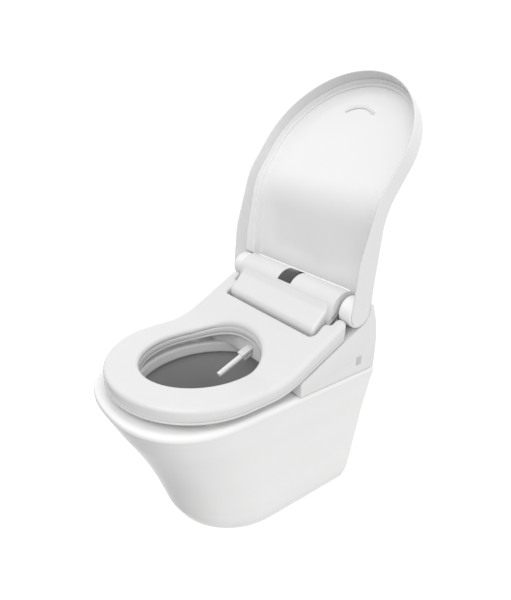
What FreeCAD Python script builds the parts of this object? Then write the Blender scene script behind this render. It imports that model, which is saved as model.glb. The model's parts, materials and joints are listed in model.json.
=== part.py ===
import FreeCAD, Part
import math
import os

os.makedirs("parts", exist_ok=True)
V = FreeCAD.Vector

# ----------------------------------------------------------------------------
# Driving dimensions, millimetres.
# Drawing frame: X to the right seen from the front, wall plane at Y = 0 with the
# front towards -Y, Z = 0 at the underside of the pan.  Everything is moved down
# by STUD_Z when it is written, so the part's origin is the middle of the two
# wall bolts on the wall plane.
# ----------------------------------------------------------------------------
STUD_Z = 248.0          # wall bolt line above the pan's underside
STUD_SPACING = 180.0    # wall bolt spacing
STUD_HOLE_R = 6.5       # M12 bolt in its plastic bush
BUSH_R = 11.0           # outside of that bush
OUTLET_Z = 148.0        # waste outlet centre height
OUTLET_R = 45.0         # waste outlet bore
INLET_Z = 283.0         # flush inlet centre height
INLET_R = 27.5          # flush inlet bore

RIM_Z = 338.0           # top of the ceramic rim
PAN_SECTIONS = [        # height, half width, nose tip Y, nose length, nose fullness
    (0.0, 127.0, -374.7, 150.0, 2.0),
    (12.0, 132.6, -387.0, 151.0, 2.0),
    (30.0, 138.6, -397.8, 153.5, 2.0),
    (65.0, 144.8, -410.9, 158.0, 2.0),
    (122.0, 151.0, -432.4, 164.0, 2.0),
    (168.0, 156.5, -452.8, 170.0, 2.03),
    (226.0, 163.2, -482.9, 177.0, 2.08),
    (270.0, 170.2, -507.8, 182.0, 2.16),
    (300.0, 174.9, -523.0, 186.0, 2.24),
    (319.0, 178.4, -532.4, 188.0, 2.30),
    (329.0, 180.3, -536.4, 189.5, 2.32),
    (334.5, 179.0, -535.1, 189.5, 2.32),
    (338.0, 174.5, -530.6, 186.0, 2.32),
]
PAN_WALL = 13.0         # thickness of the ceramic skirt
BOWL_SECTIONS = [       # height, half width, half length, centre Y
    (78.0, 30.0, 33.0, -226.0),
    (112.0, 46.0, 52.0, -243.0),
    (150.0, 65.0, 80.0, -264.0),
    (200.0, 91.0, 112.0, -286.0),
    (250.0, 110.0, 137.0, -299.0),
    (290.0, 120.0, 151.0, -303.0),
    (315.0, 121.0, 152.5, -304.0),
    (339.0, 121.0, 153.0, -304.0),
]
BOWL_WALL = 12.0

HINGE_Y = -73.0         # common axis of lid and seat
HINGE_Z = 478.0
PIN_R = 7.0
KNUCKLE_R = 29.5        # barrel of the lid on its pin
LID_OPEN = 126.0        # how far the lid stands open, degrees

SEAT_W = 180.5          # seat half width
SEAT_TIP = -519.0
SEAT_NOSE = 180.0
SEAT_LOW = 355.0        # underside of the seat where it bends
SEAT_TOP = 384.0
SEAT_DROOP = 6.0 / 310.0  # the underside falls to the front
SEAT_BEND_LOW = -250.0  # where underside and top turn upwards
SEAT_BEND_TOP = -255.0
SEAT_SLOPE_LOW = 27.0
SEAT_SLOPE_TOP = 29.0
SEAT_SPLIT = 6.0        # height of the lower shell
SEAT_WALL = 3.5
SEAT_HOLE_W = 112.0     # seat opening half width
SEAT_HOLE_TIP = -451.5
SEAT_HOLE_REAR = -203.0
NOTCH_X = 153.0         # seat notch beside the hinge
NOTCH_IN = 137.5        # and beside the apron of the control housing
NOTCH_FRONT = 143.5
NOTCH_STEP = -119.0
NOTCH_Y = -156.5

LID_W = 187.0           # lid half width outside
LID_TIP = -523.2
LID_NOSE = 180.0
LID_WALL = 3.2
LID_LIP = 357.0         # lip height of the closed lid's flat front
LID_TOP = 400.0

BASE_W = 181.7          # half width of the bidet base
BASE_FRONT = -216.0
BASE_BACK = -8.0
BASE_Z0 = 340.0
BASE_WALL = 3.0
HOUSE_X = 146.5         # half length of the control housing
HOUSE_R = 38.0
HOUSE_Y = -76.0
HOUSE_Z = 475.0
HOUSE_WALL = 3.0

NOZZLE_SLOPE = 23.0     # the wand runs down to the front
NOZZLE_TIP = (-279.0, 321.0)
WAND_R = 6.2
WAND_LEN = 165.0
WAND_TRAVEL = 80.0
PINION_R = 8.0          # pitch radius, module 1, 16 teeth


# ----------------------------------------------------------------------------
# helpers
# ----------------------------------------------------------------------------
def write(name, shape):
    s = shape.copy()
    s.translate(V(0, 0, -STUD_Z))
    if not s.isValid():
        s.fix(0.001, 0.001, 0.01)
    s.exportStep("parts/%s.step" % name)
    print("%-20s solids %d valid %s volume %.1f cm3" % (
        name, len(s.Solids), s.isValid(), s.Volume / 1000.0))


def solid(shape):
    """The shape as one clean solid or a compound of clean solids."""
    sols = [x for x in shape.Solids if x.Volume > 1.0]
    return sols[0] if len(sols) == 1 else Part.makeCompound(sols)


def rounded(pts):
    """Edges of a closed 2-D outline from (a, b, radius) corners."""
    n = len(pts)
    pieces = []
    for i in range(n):
        p0, p, p1 = pts[i - 1], pts[i], pts[(i + 1) % n]
        r = p[2] if len(p) > 2 else 0.0
        if r <= 0:
            pieces.append([(p[0], p[1])])
            continue
        a = (p0[0] - p[0], p0[1] - p[1])
        b = (p1[0] - p[0], p1[1] - p[1])
        la, lb = math.hypot(*a), math.hypot(*b)
        a = (a[0] / la, a[1] / la)
        b = (b[0] / lb, b[1] / lb)
        ang = math.acos(max(-1, min(1, a[0] * b[0] + a[1] * b[1])))
        t = r / math.tan(ang / 2)
        m = (a[0] + b[0], a[1] + b[1])
        lm = math.hypot(*m)
        d = r / math.sin(ang / 2) - r
        pieces.append([(p[0] + a[0] * t, p[1] + a[1] * t),
                       (p[0] + m[0] / lm * d, p[1] + m[1] / lm * d),
                       (p[0] + b[0] * t, p[1] + b[1] * t)])
    return pieces


def outline(pts, place):
    """Wire from rounded corners; place maps (a, b) to a vector."""
    pieces = rounded(pts)
    edges = []
    n = len(pieces)
    for i in range(n):
        pc = pieces[i]
        if len(pc) == 3:
            edges.append(Part.Arc(place(*pc[0]), place(*pc[1]), place(*pc[2])).toShape())
        q = pieces[(i + 1) % n][0]
        a, b = place(*pc[-1]), place(*q)
        if (a - b).Length > 1e-6:
            edges.append(Part.LineSegment(a, b).toShape())
    return Part.Wire(edges)


def side(pts, x0, x1):
    """Prism along X from a (Y, Z) outline."""
    w = outline(pts, lambda y, z: V(x0, y, z))
    return Part.Face(w).extrude(V(x1 - x0, 0, 0))


def plan(pts, z0, z1):
    """Prism along Z from an (X, Y) outline."""
    w = outline(pts, lambda x, y: V(x, y, z0))
    return Part.Face(w).extrude(V(0, 0, z1 - z0))


def box(x0, x1, y0, y1, z0, z1):
    return Part.makeBox(x1 - x0, y1 - y0, z1 - z0, V(x0, y0, z0))


def cyl(p, d, r, h):
    return Part.makeCylinder(r, h, V(*p), V(*d))


def rbox(x0, x1, y0, y1, z0, z1, r):
    """Box with rounded upright edges."""
    return plan([(x0, y0, r), (x1, y0, r), (x1, y1, r), (x0, y1, r)], z0, z1)


def fuse(shapes):
    s = shapes[0]
    for t in shapes[1:]:
        s = s.fuse(t)
    return s.removeSplitter()


def spline(points, t0=None, t1=None):
    b = Part.BSplineCurve()
    if t0 is None:
        b.interpolate(points)
    else:
        b.interpolate(Points=points, InitialTangent=t0, FinalTangent=t1)
    return b.toShape()


def u_prism(w, tip, nose, back, z0, z1):
    """U-shaped plan: straight sides and a half-ellipse nose."""
    yc = tip + nose
    pts = []
    for i in range(33):
        t = math.pi * i / 32
        pts.append(V(w * math.cos(t), yc - nose * math.sin(t), z0))
    e = [spline(pts, V(0, -1, 0), V(0, 1, 0)),
         Part.LineSegment(V(-w, yc, z0), V(-w, back, z0)).toShape(),
         Part.LineSegment(V(-w, back, z0), V(w, back, z0)).toShape(),
         Part.LineSegment(V(w, back, z0), V(w, yc, z0)).toShape()]
    return Part.Face(Part.Wire(e)).extrude(V(0, 0, z1 - z0))


def u_section(w, tip, nose, full, z, back=150.0, n_nose=28):
    """Closed section of the pan: nose, sides and a rounded back behind the wall."""
    yc = tip + nose
    pts = []
    for i in range(n_nose + 1):
        t = math.pi * i / n_nose
        c, d = math.cos(t), math.sin(t)
        pts.append(V(w * math.copysign(abs(c) ** (2.0 / full), c), yc - nose * abs(d) ** (2.0 / full), z))
    steps = (0.08, 0.2, 0.34, 0.48, 0.62, 0.76, 0.9)
    left = [V(-w, yc + (back - yc) * k, z) for k in steps]
    right = [V(w, yc + (back - yc) * k, z) for k in steps[::-1]]
    top = [V(-w * 0.9, back + 30, z), V(-w * 0.5, back + 45, z), V(0, back + 48, z),
           V(w * 0.5, back + 45, z), V(w * 0.9, back + 30, z)]
    b = Part.BSplineCurve()
    b.interpolate(Points=pts + left + top + right, PeriodicFlag=True)
    return Part.Wire([b.toShape()])


def oval(a, b, cy, z, n=32):
    pts = []
    for i in range(n):
        t = 2 * math.pi * i / n
        pts.append(V(a * math.cos(t), cy + b * math.sin(t), z))
    c = Part.BSplineCurve()
    c.interpolate(Points=pts, PeriodicFlag=True)
    return Part.Wire([c.toShape()])


def fillet(shape, edges, radii):
    """Fillet with the first radius of the list that the geometry takes."""
    for r in radii:
        try:
            s = shape.makeFillet(r, edges)
            if s.isValid() and len(s.Solids) == 1:
                return s
        except Exception:
            pass
    return shape


def pipe_run(points, r):
    """Straight runs of round pipe with ball joints."""
    out = []
    for i in range(len(points) - 1):
        a, b = V(*points[i]), V(*points[i + 1])
        out.append(Part.makeCylinder(r, (b - a).Length, a, b - a))
        if i > 0:
            out.append(Part.makeSphere(r, a))
    return fuse(out)


def rot(shape, deg, y=HINGE_Y, z=HINGE_Z):
    """Turn about the hinge axis; positive opens."""
    s = shape.copy()
    s.rotate(V(0, y, z), V(-1, 0, 0), deg)
    return s


# ----------------------------------------------------------------------------
# ceramic pan
# ----------------------------------------------------------------------------
outer = Part.makeLoft([u_section(w, t, n, f, z) for z, w, t, n, f in PAN_SECTIONS], True, False)
outer = outer.common(box(-300, 300, -700, 0, -5, RIM_Z + 1))

inner_secs = [(z, w - PAN_WALL, t + PAN_WALL, max(60.0, n - PAN_WALL), f)
              for z, w, t, n, f in PAN_SECTIONS if 12.0 <= z <= 300.0]
inner = Part.makeLoft([u_section(w, t, n, f, z) for z, w, t, n, f in inner_secs], True, False)
inner = inner.common(box(-300, 300, -700, -18, 14, 300))

bowl_in = Part.makeLoft([oval(a, b, c, z) for z, a, b, c in BOWL_SECTIONS], True, False)
bowl_out = Part.makeLoft([oval(a + BOWL_WALL, b + BOWL_WALL, c, z - (10 if z < 100 else 0))
                          for z, a, b, c in BOWL_SECTIONS if z < 330], True, False)
trap_path = [(0, -222, 92), (0, -158, 74), (0, -108, OUTLET_Z), (0, 5, OUTLET_Z)]
trap_in = pipe_run(trap_path[:3], 31.0)
trap_in = fuse([trap_in, Part.makeSphere(31.0, V(0, -108, OUTLET_Z)),
                cyl((0, -108, OUTLET_Z), (0, 1, 0), 31.0, 40),
                Part.makeCone(31.0, OUTLET_R, 26.0, V(0, -96, OUTLET_Z), V(0, 1, 0)),
                cyl((0, -70.0, OUTLET_Z), (0, 1, 0), OUTLET_R, 75)])
trap_out = pipe_run(trap_path[:3], 41.0)
trap_out = fuse([trap_out, Part.makeSphere(41.0, V(0, -108, OUTLET_Z)),
                 cyl((0, -108, OUTLET_Z), (0, 1, 0), OUTLET_R + 9, 110)])
flush_out = cyl((0, -170, INLET_Z), (0, 1, 0), INLET_R + 10, 170)
flush_in = fuse([cyl((0, -60, INLET_Z), (0, 1, 0), INLET_R, 65),
                 cyl((0, -165, INLET_Z + 3), (0, 1, 0), 17.0, 110)])

# pocket behind the bowl, open to the wall below the bolt line
pocket = side([(-30, 30), (5, 30), (5, 208), (-30, 208)], -112, 112)
# the casting in four regions: rim with deck, bowl with flush way, waste way, skirt
RIM_LOW = 300.0
low = box(-300, 300, -700, 0, -20, RIM_LOW)
high = box(-300, 300, -700, 0, RIM_LOW, 400)
rim = outer.common(high).cut(bowl_in).cut(flush_in)
bowl = bowl_out.fuse(flush_out).common(low).cut(bowl_in).cut(flush_in).cut(trap_in)
waste = trap_out.common(low).cut(bowl_out).cut(trap_in)
skirt = outer.common(low).cut(inner).cut(pocket).cut(flush_out)
DECK_X, DECK_Y = 78.0, -114.0
for sx in (-1, 1):
    skirt = skirt.cut(cyl((sx * STUD_SPACING / 2, -60, STUD_Z), (0, 1, 0), BUSH_R, 70))
    rim = rim.cut(cyl((sx * DECK_X, DECK_Y, 280), (0, 0, 1), 7.0, 70))


def parted(shape, boxes):
    """The shape as touching solids, one for each box or list of boxes."""
    out = []
    for b in boxes:
        region = fuse([box(*q) for q in b]) if isinstance(b, list) else box(*b)
        out += [q for q in shape.common(region).Solids if q.Volume > 1.0]
    return Part.makeCompound(out)


# each region is stored in blocks that lie on one side of the hollow they surround
RIM_F, RIM_B = -400.5, -211.5
write("pan_rim", parted(rim, [(-300, 300, -700, RIM_F, 250, 400), (-300, 0, RIM_F, RIM_B, 250, 400),
                              (0, 300, RIM_F, RIM_B, 250, 400), (-300, 300, RIM_B, 50, 250, 400)]))
BOWL_F, BOWL_B, BOWL_Z = -372.5, -211.5, 203.0
write("pan_bowl", parted(bowl, [(-300, 300, -700, 50, -20, BOWL_Z), (-300, 300, -700, BOWL_F, BOWL_Z, 400),
                                (-300, 0, BOWL_F, BOWL_B, BOWL_Z, 400), (0, 300, BOWL_F, BOWL_B, BOWL_Z, 400),
                                (-300, 300, BOWL_B, 50, BOWL_Z, 400)]))
write("pan_waste_way", solid(waste))
SKIRT_F, FOOT_Z, POCKET_X = -340.0, 30.0, 112.0
write("pan_skirt", parted(skirt, [(-300, 300, -700, 50, -20, FOOT_Z),
                                  [(-300, 300, -700, SKIRT_F, FOOT_Z, 400), (-POCKET_X, POCKET_X, SKIRT_F, -200, FOOT_Z, 400)],
                                  (-300, -POCKET_X, SKIRT_F, 50, FOOT_Z, 400), (POCKET_X, 300, SKIRT_F, 50, FOOT_Z, 400),
                                  (-POCKET_X, POCKET_X, -200, 50, FOOT_Z, 400)]))

bushes = []
for sx in (-1, 1):
    x = sx * STUD_SPACING / 2
    b = cyl((x, -18, STUD_Z), (0, 1, 0), BUSH_R, 18).fuse(cyl((x, -21, STUD_Z), (0, 1, 0), 16.0, 3))
    bushes.append(b.cut(cyl((x, -30, STUD_Z), (0, 1, 0), STUD_HOLE_R, 40)))
write("wall_bushes", Part.makeCompound(bushes))

# ----------------------------------------------------------------------------
# bidet base: fixing, tray, cover
# ----------------------------------------------------------------------------
plate = rbox(-112, 112, -140, -58, RIM_Z, 342.0, 8)
for sx in (-1, 1):
    plate = plate.cut(cyl((sx * DECK_X, DECK_Y, 330), (0, 0, 1), 5.0, 20))
write("mounting_plate", plate)

bolts, nuts = [], []
for sx in (-1, 1):
    x = sx * DECK_X
    bolts.append(fuse([cyl((x, DECK_Y, 276), (0, 0, 1), 4.0, 66), cyl((x, DECK_Y, 342), (0, 0, 1), 8.0, 5)]))
    n = fuse([cyl((x, DECK_Y, 284), (0, 0, 1), 13.0, 8), cyl((x, DECK_Y, 278), (0, 0, 1), 9.0, 6)])
    nuts.append(n.cut(cyl((x, DECK_Y, 270), (0, 0, 1), 4.0, 40)))
write("mounting_bolts", Part.makeCompound(bolts))
write("mounting_nuts", Part.makeCompound(nuts))

pads = []
for x, y in ((-150, -190), (150, -190), (-150, -40), (150, -40)):
    pads.append(rbox(x - 14, x + 14, y - 8, y + 8, RIM_Z, 342.0, 4))
write("base_pads", Part.makeCompound(pads))


def seat_low(y):
    return SEAT_LOW + max(0.0, y - SEAT_BEND_LOW) * math.tan(math.radians(SEAT_SLOPE_LOW)) - max(0.0, SEAT_BEND_LOW - y) * SEAT_DROOP


def seat_top(y):
    return SEAT_TOP + max(0.0, y - SEAT_BEND_TOP) * math.tan(math.radians(SEAT_SLOPE_TOP))


def arc_pts(cy, cz, r, a0, a1, n):
    return [(cy + r * math.cos(math.radians(a0 + (a1 - a0) * i / n)),
             cz + r * math.sin(math.radians(a0 + (a1 - a0) * i / n))) for i in range(n + 1)]


GAP_SEAT = 4.5          # base top below the seat's underside


def cheek(inset, bottom):
    """Side profile of the base at the cheeks: slope, knuckle trough, horn, back."""
    r = KNUCKLE_R + 3.5 + inset
    front_top = seat_low(BASE_FRONT) - GAP_SEAT
    i = inset
    p = [(BASE_FRONT + i, bottom), (BASE_FRONT + i, front_top - i * 1.1, 4.0)]
    p.append((-66.0, seat_low(-66.0) - GAP_SEAT - i * 1.1, 6.0))
    tr = arc_pts(HINGE_Y, HINGE_Z, r, -62, 14 if i == 0 else -6, 9)
    p += [(a, b) for a, b in tr[1:]]
    p += [(-38.5, 490.0, 2.5), (-32.0, 487.0, 5.0)] if i == 0 else [(-30.5, 474.0)]
    p += [(-17.5 - i, 449.0, 40.0), (-9.5 - i, 408.0, 60.0), (BASE_BACK - i, 365.0, 0), (BASE_BACK - i, bottom)]
    return p


def centre_cut(inset):
    """Space above the base between its cheeks, under the control housing."""
    i = inset
    return [(-300, seat_low(-300) - 200), (-300, 700), (60, 700), (60, 436.0 - i), (-39.0, 436.0 - i),
            (-39.0, 404.0 - i), (-146.0, 404.0 - i),
            (-146.0, seat_low(-146.0) - GAP_SEAT - i * 1.1),
            (BASE_FRONT - 10, seat_low(BASE_FRONT - 10) - GAP_SEAT - i * 1.1),
            (BASE_FRONT - 10, 300)]


CHEEK_X = 156.5
cover = side(cheek(0.0, BASE_Z0), -BASE_W, BASE_W)
cover = cover.cut(side(centre_cut(0.0), -CHEEK_X, CHEEK_X))
# the front of the base is hollowed in plan so that it stays behind the bowl
bite = plan([(-118, -260), (118, -260), (118, -204, 60), (60, -196, 40), (-60, -196, 40), (-118, -204, 60)], 250, 600)
cover = cover.cut(bite)
core = side(cheek(BASE_WALL, BASE_Z0 - 5), -(BASE_W - BASE_WALL), BASE_W - BASE_WALL)
core = core.cut(side(centre_cut(BASE_WALL), -CHEEK_X - BASE_WALL, CHEEK_X + BASE_WALL))
bite_in = plan([(-121, -262), (121, -262), (121, -201, 60), (60, -193, 40), (-60, -193, 40), (-121, -201, 60)], 250, 600)
core = core.cut(bite_in)
cover = cover.cut(core)
# opening for the nozzle guide in the front wall, for the button, and the rear ports
ns, nc = math.sin(math.radians(NOZZLE_SLOPE)), math.cos(math.radians(NOZZLE_SLOPE))


def nz(shape):
    """Place a shape drawn with the wand along local +Y (backwards), tip at 0."""
    s = shape.copy()
    s.rotate(V(0, 0, 0), V(1, 0, 0), NOZZLE_SLOPE)
    s.translate(V(0, NOZZLE_TIP[0], NOZZLE_TIP[1]))
    return s


cover = cover.cut(nz(box(-11.0, 11.0, 40, 120, -9.0, 9.0)))
BTN_Y, BTN_Z, BTN_W, BTN_H = -56.5, 368.0, 15.0, 19.0
cover = cover.cut(box(170, 190, BTN_Y - BTN_W / 2, BTN_Y + BTN_W / 2, BTN_Z - BTN_H / 2, BTN_Z + BTN_H / 2))
WATER_X, PORT_Z, CORD_X = -118.0, 374.0, 118.0
cover = cover.cut(cyl((WATER_X, -20, PORT_Z), (0, 1, 0), 20.0, 30))
cover = cover.cut(cyl((CORD_X, -20, PORT_Z), (0, 1, 0), 8.0, 30))
# slot over the middle of the deck where wires and wand reach into the housing
cover = cover.cut(box(-120, 120, -135, -46, 395, 410))
write("base_cover", solid(cover))

tray = box(-177.5, 177.5, -190, -12.5, 342.0, 345.0)
tray = tray.cut(bite_in)
tray = tray.cut(cyl((-DECK_X, DECK_Y, 330), (0, 0, 1), 9.0, 30)).cut(cyl((DECK_X, DECK_Y, 330), (0, 0, 1), 9.0, 30))
posts = []
for sx in (-1, 1):
    x0, x1 = sorted((sx * 74, sx * 104))
    post = box(x0, x1, HINGE_Y - 19, HINGE_Y + 19, 345.0, HINGE_Z)
    post = post.cut(box(x0 - 1, x1 + 1, HINGE_Y - 15, HINGE_Y + 15, 352.0, 448.0))
    post = post.cut(cyl((x0 - 5, HINGE_Y, HINGE_Z), (1, 0, 0), 15.0, 50))
    posts.append(post)
stop = box(160.0, 163.0, BTN_Y - 8, BTN_Y + 8, 345.0, 382.0)
tray = fuse([tray] + posts + [stop])
write("base_tray", solid(tray))

# ----------------------------------------------------------------------------
# control housing with its window
# ----------------------------------------------------------------------------
HOUSE_LOW = 404.5
APRON_X = 135.0         # half length of the apron in front of the barrel


def barrel_part(inset, low, x):
    """Barrel over the hinge line, down to the base."""
    r = HOUSE_R - inset

    def at(a):
        return V(-x, HOUSE_Y + r * math.cos(math.radians(a)), HOUSE_Z + r * math.sin(math.radians(a)))

    a0, a1 = -38.0, 180.0
    foot = V(-x, -112.5 + inset, low)
    e = [Part.LineSegment(V(-x, at(a0).y, low), at(a0)).toShape(),
         Part.Arc(at(a0), at((a0 + a1) / 2), at(a1)).toShape(),
         Part.LineSegment(at(a1), foot).toShape(),
         Part.LineSegment(foot, V(-x, at(a0).y, low)).toShape()]
    return Part.Face(Part.Wire(e)).extrude(V(2 * x, 0, 0))


def apron_part(inset, low, x):
    i = inset
    return side([(-84.0, low), (-142.0 + i, low), (-147.5 + i, 428.0, 12.0), (-151.0 + i, 443.0 - 0.4 * i, 9.0 - i),
                 (-113.2, 483.0 - 1.4 * i), (-84.0, 483.0 - 1.4 * i)], -x, x)


h_bar = barrel_part(0.0, HOUSE_LOW, HOUSE_X)
h_bar = fillet(h_bar, [e for e in h_bar.Edges if e.BoundBox.XLength < 0.01 and e.BoundBox.ZMax > 500], (1.6, 1.0))
h_out = h_bar.fuse(apron_part(0.0, HOUSE_LOW, APRON_X)).removeSplitter()
h_in = barrel_part(HOUSE_WALL, HOUSE_LOW - 5, HOUSE_X - HOUSE_WALL).fuse(apron_part(HOUSE_WALL, HOUSE_LOW - 5, APRON_X - HOUSE_WALL))
housing = h_out.cut(h_in)
for sx in (-1, 1):
    housing = housing.cut(cyl((sx * 140, HINGE_Y, HINGE_Z), (sx, 0, 0), 9.0, 20))
# seat of the sensor window: a band of the cylinder's skin
WIN_X0, WIN_X1 = -19.0, 21.0
win_ring = Part.makeCylinder(HOUSE_R + 5, WIN_X1 - WIN_X0, V(WIN_X0, HOUSE_Y, HOUSE_Z), V(1, 0, 0)).cut(
    Part.makeCylinder(HOUSE_R - 1.6, WIN_X1 - WIN_X0, V(WIN_X0, HOUSE_Y, HOUSE_Z), V(1, 0, 0)))


def wedge(a0, a1, r, x0, x1):
    pts = [(HOUSE_Y, HOUSE_Z)] + arc_pts(HOUSE_Y, HOUSE_Z, r, a0, a1, 6)
    return side(pts, x0, x1)


WIN_A0, WIN_A1 = 67.5, 146.0
win_cut = win_ring.common(wedge(WIN_A0, WIN_A1, 60, WIN_X0 - 1, WIN_X1 + 1))
housing = housing.cut(win_cut)
# through slot behind the window for the indicator board's light
housing = housing.cut(wedge(78.0, 132.0, 60, -14, 16).common(Part.makeCylinder(HOUSE_R - 1.6, 40, V(-20, HOUSE_Y, HOUSE_Z), V(1, 0, 0))))
window = h_out.common(win_cut)
ir_band = Part.makeCylinder(HOUSE_R + 5, 12, V(8, HOUSE_Y, HOUSE_Z), V(1, 0, 0)).cut(
    Part.makeCylinder(HOUSE_R - 0.9, 12, V(8, HOUSE_Y, HOUSE_Z), V(1, 0, 0)))
ir_cut = ir_band.common(wedge(71.0, 77.0, 60, 5, 24))
ir = window.common(ir_cut)
window = window.cut(ir_cut)
write("sensor_window", solid(window))
write("ir_receiver", solid(ir))
# bright wiper strip along the rear of the housing's top
STRIP_A = 61.5
sy, sz = HOUSE_Y + HOUSE_R * math.cos(math.radians(STRIP_A)), HOUSE_Z + HOUSE_R * math.sin(math.radians(STRIP_A))
strip = cyl((-141, sy, sz), (1, 0, 0), 2.2, 282)
housing = housing.cut(strip)
write("wiper_strip", strip)
write("control_housing", solid(housing))

led_board = box(-22, 24, -98, -62, 492.0, 493.6)
leds = [box(-10 + 8 * k, -7 + 8 * k, -84, -81, 493.6, 495.2) for k in range(4)]
write("indicator_board", fuse([led_board] + leds))

# ----------------------------------------------------------------------------
# hinge: pins, dampers
# ----------------------------------------------------------------------------
for sx, nm in ((-1, "left"), (1, "right")):
    pin = cyl((sx * 112, HINGE_Y, HINGE_Z), (sx, 0, 0), PIN_R, 62)
    pin = fillet(pin, [e for e in pin.Edges if abs(e.BoundBox.Center.x - sx * 174) < 0.1 and e.BoundBox.XLength < 0.1], (1.0,))
    write("hinge_pin_" + nm, pin)
    dm = cyl((sx * 62, HINGE_Y, HINGE_Z), (sx, 0, 0), 15.0, 50)
    dm = dm.cut(Part.makeTorus(15.0, 1.5, V(sx * 68, HINGE_Y, HINGE_Z), V(1, 0, 0)))
    write(("seat" if sx < 0 else "lid") + "_damper", solid(dm))

# ----------------------------------------------------------------------------
# seat
# ----------------------------------------------------------------------------
ARM_END = -100.0
ty = math.tan(math.radians(SEAT_SLOPE_LOW))
tt = math.tan(math.radians(SEAT_SLOPE_TOP))


def seat_band(lo_off, hi_off, y_front, y_back, from_low=True, end_r=14.0):
    """Side profile between two offsets; low offset from the underside, high from top or underside."""
    bl = (SEAT_BEND_LOW, SEAT_LOW)
    bt = (SEAT_BEND_TOP, SEAT_TOP)
    lo = lambda y: seat_low(y) + lo_off
    hi = (lambda y: seat_low(y) + hi_off) if from_low else (lambda y: seat_top(y) + hi_off)
    bend_hi = bl if from_low else bt
    return [(y_front, lo(y_front)), (bl[0], bl[1] + lo_off, 150.0), (y_back, lo(y_back), end_r),
            (y_back - (0 if from_low else 12), hi(y_back - (0 if from_low else 12)), end_r),
            (bend_hi[0], bend_hi[1] + hi_off, 150.0), (y_front, hi(y_front))]


def hole_prism(grow):
    """Seat opening: egg-shaped, longer to the front."""
    pts = []
    w = SEAT_HOLE_W + grow
    cy = -318.0
    for i in range(49):
        t = 2 * math.pi * i / 48
        c, s = math.cos(t), math.sin(t)
        ly = (SEAT_HOLE_REAR + grow - cy) if s > 0 else (cy - SEAT_HOLE_TIP + grow)
        e = 2.0 / 2.25 if s > 0 else 1.0
        pts.append(V(w * math.copysign(abs(c) ** e, c), cy + ly * math.copysign(abs(s) ** e, s), 250))
    b = Part.BSplineCurve()
    b.interpolate(Points=pts[:-1], PeriodicFlag=True)
    return Part.Face(Part.Wire([b.toShape()])).extrude(V(0, 0, 400))


def notch_prism(w):
    """Space in the seat for housing and hinge, made smaller all round by w."""
    half = [(NOTCH_X + w, 0), (NOTCH_X + w, NOTCH_STEP - w, 2.5 if w == 0 else 0), (NOTCH_IN + w, NOTCH_STEP - w, 10.5 - w),
            (NOTCH_FRONT + w, NOTCH_Y - w, 10)]
    return plan(half + [(-q[0],) + tuple(q[1:]) for q in half[::-1]], 250, 650)


notch = notch_prism(0.0)
hole = hole_prism(0.0)
body = u_prism(SEAT_W, SEAT_TIP, SEAT_NOSE, -60.0, 300, 560)
whole = body.common(side(seat_band(0.0, 0.0, -560, ARM_END, False, 13.0), -300, 300)).cut(hole).cut(notch)
split = side([(-560, 300.0), (-60, 300.0), (-60, seat_low(-60) + SEAT_SPLIT),
              (SEAT_BEND_LOW, SEAT_LOW + SEAT_SPLIT, 150.0), (-560, seat_low(-560) + SEAT_SPLIT)], -300, 300)
top_part = solid(whole.cut(split))
low_part = solid(whole.common(split))


cav = u_prism(SEAT_W - SEAT_WALL, SEAT_TIP + SEAT_WALL, SEAT_NOSE - SEAT_WALL, -130.0, 300, 560)
cav = cav.common(side(seat_band(SEAT_SPLIT, -SEAT_WALL, -560, -125.0, False, 0.0), -300, 300))
cav = cav.cut(hole_prism(SEAT_WALL)).cut(notch_prism(SEAT_WALL))
# the arms stay solid around the hinge lugs
for sx in (-1, 1):
    xa, xb = sorted((sx * 143.0, sx * 162.0))
    cav = cav.cut(box(xa, xb, -142.0, -90.0, 300, 560))
seat_top_shell = top_part.cut(cav)
heat = cav.common(side(seat_band(SEAT_SPLIT, -SEAT_WALL - 0.2, -560, -175.0, False, 0.0), -300, 300)).cut(
    side(seat_band(-20, -SEAT_WALL - 1.4, -560, -160.0, False, 0.0), -300, 300))
inner_keep = u_prism(SEAT_W - 12, SEAT_TIP + 12, SEAT_NOSE - 12, -170.0, 300, 560).cut(hole_prism(12))
write("seat_heater", solid(heat.common(inner_keep)))

buffers = []
for x, y in ((-136, -392), (136, -392), (-140, -276), (140, -276)):
    z1 = seat_low(y - 16.0)
    buffers.append(fuse([rbox(x - 7, x + 7, y - 16, y + 16, RIM_Z + 0.6, z1, 6)]))
write("seat_buffers", Part.makeCompound(buffers))

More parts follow.
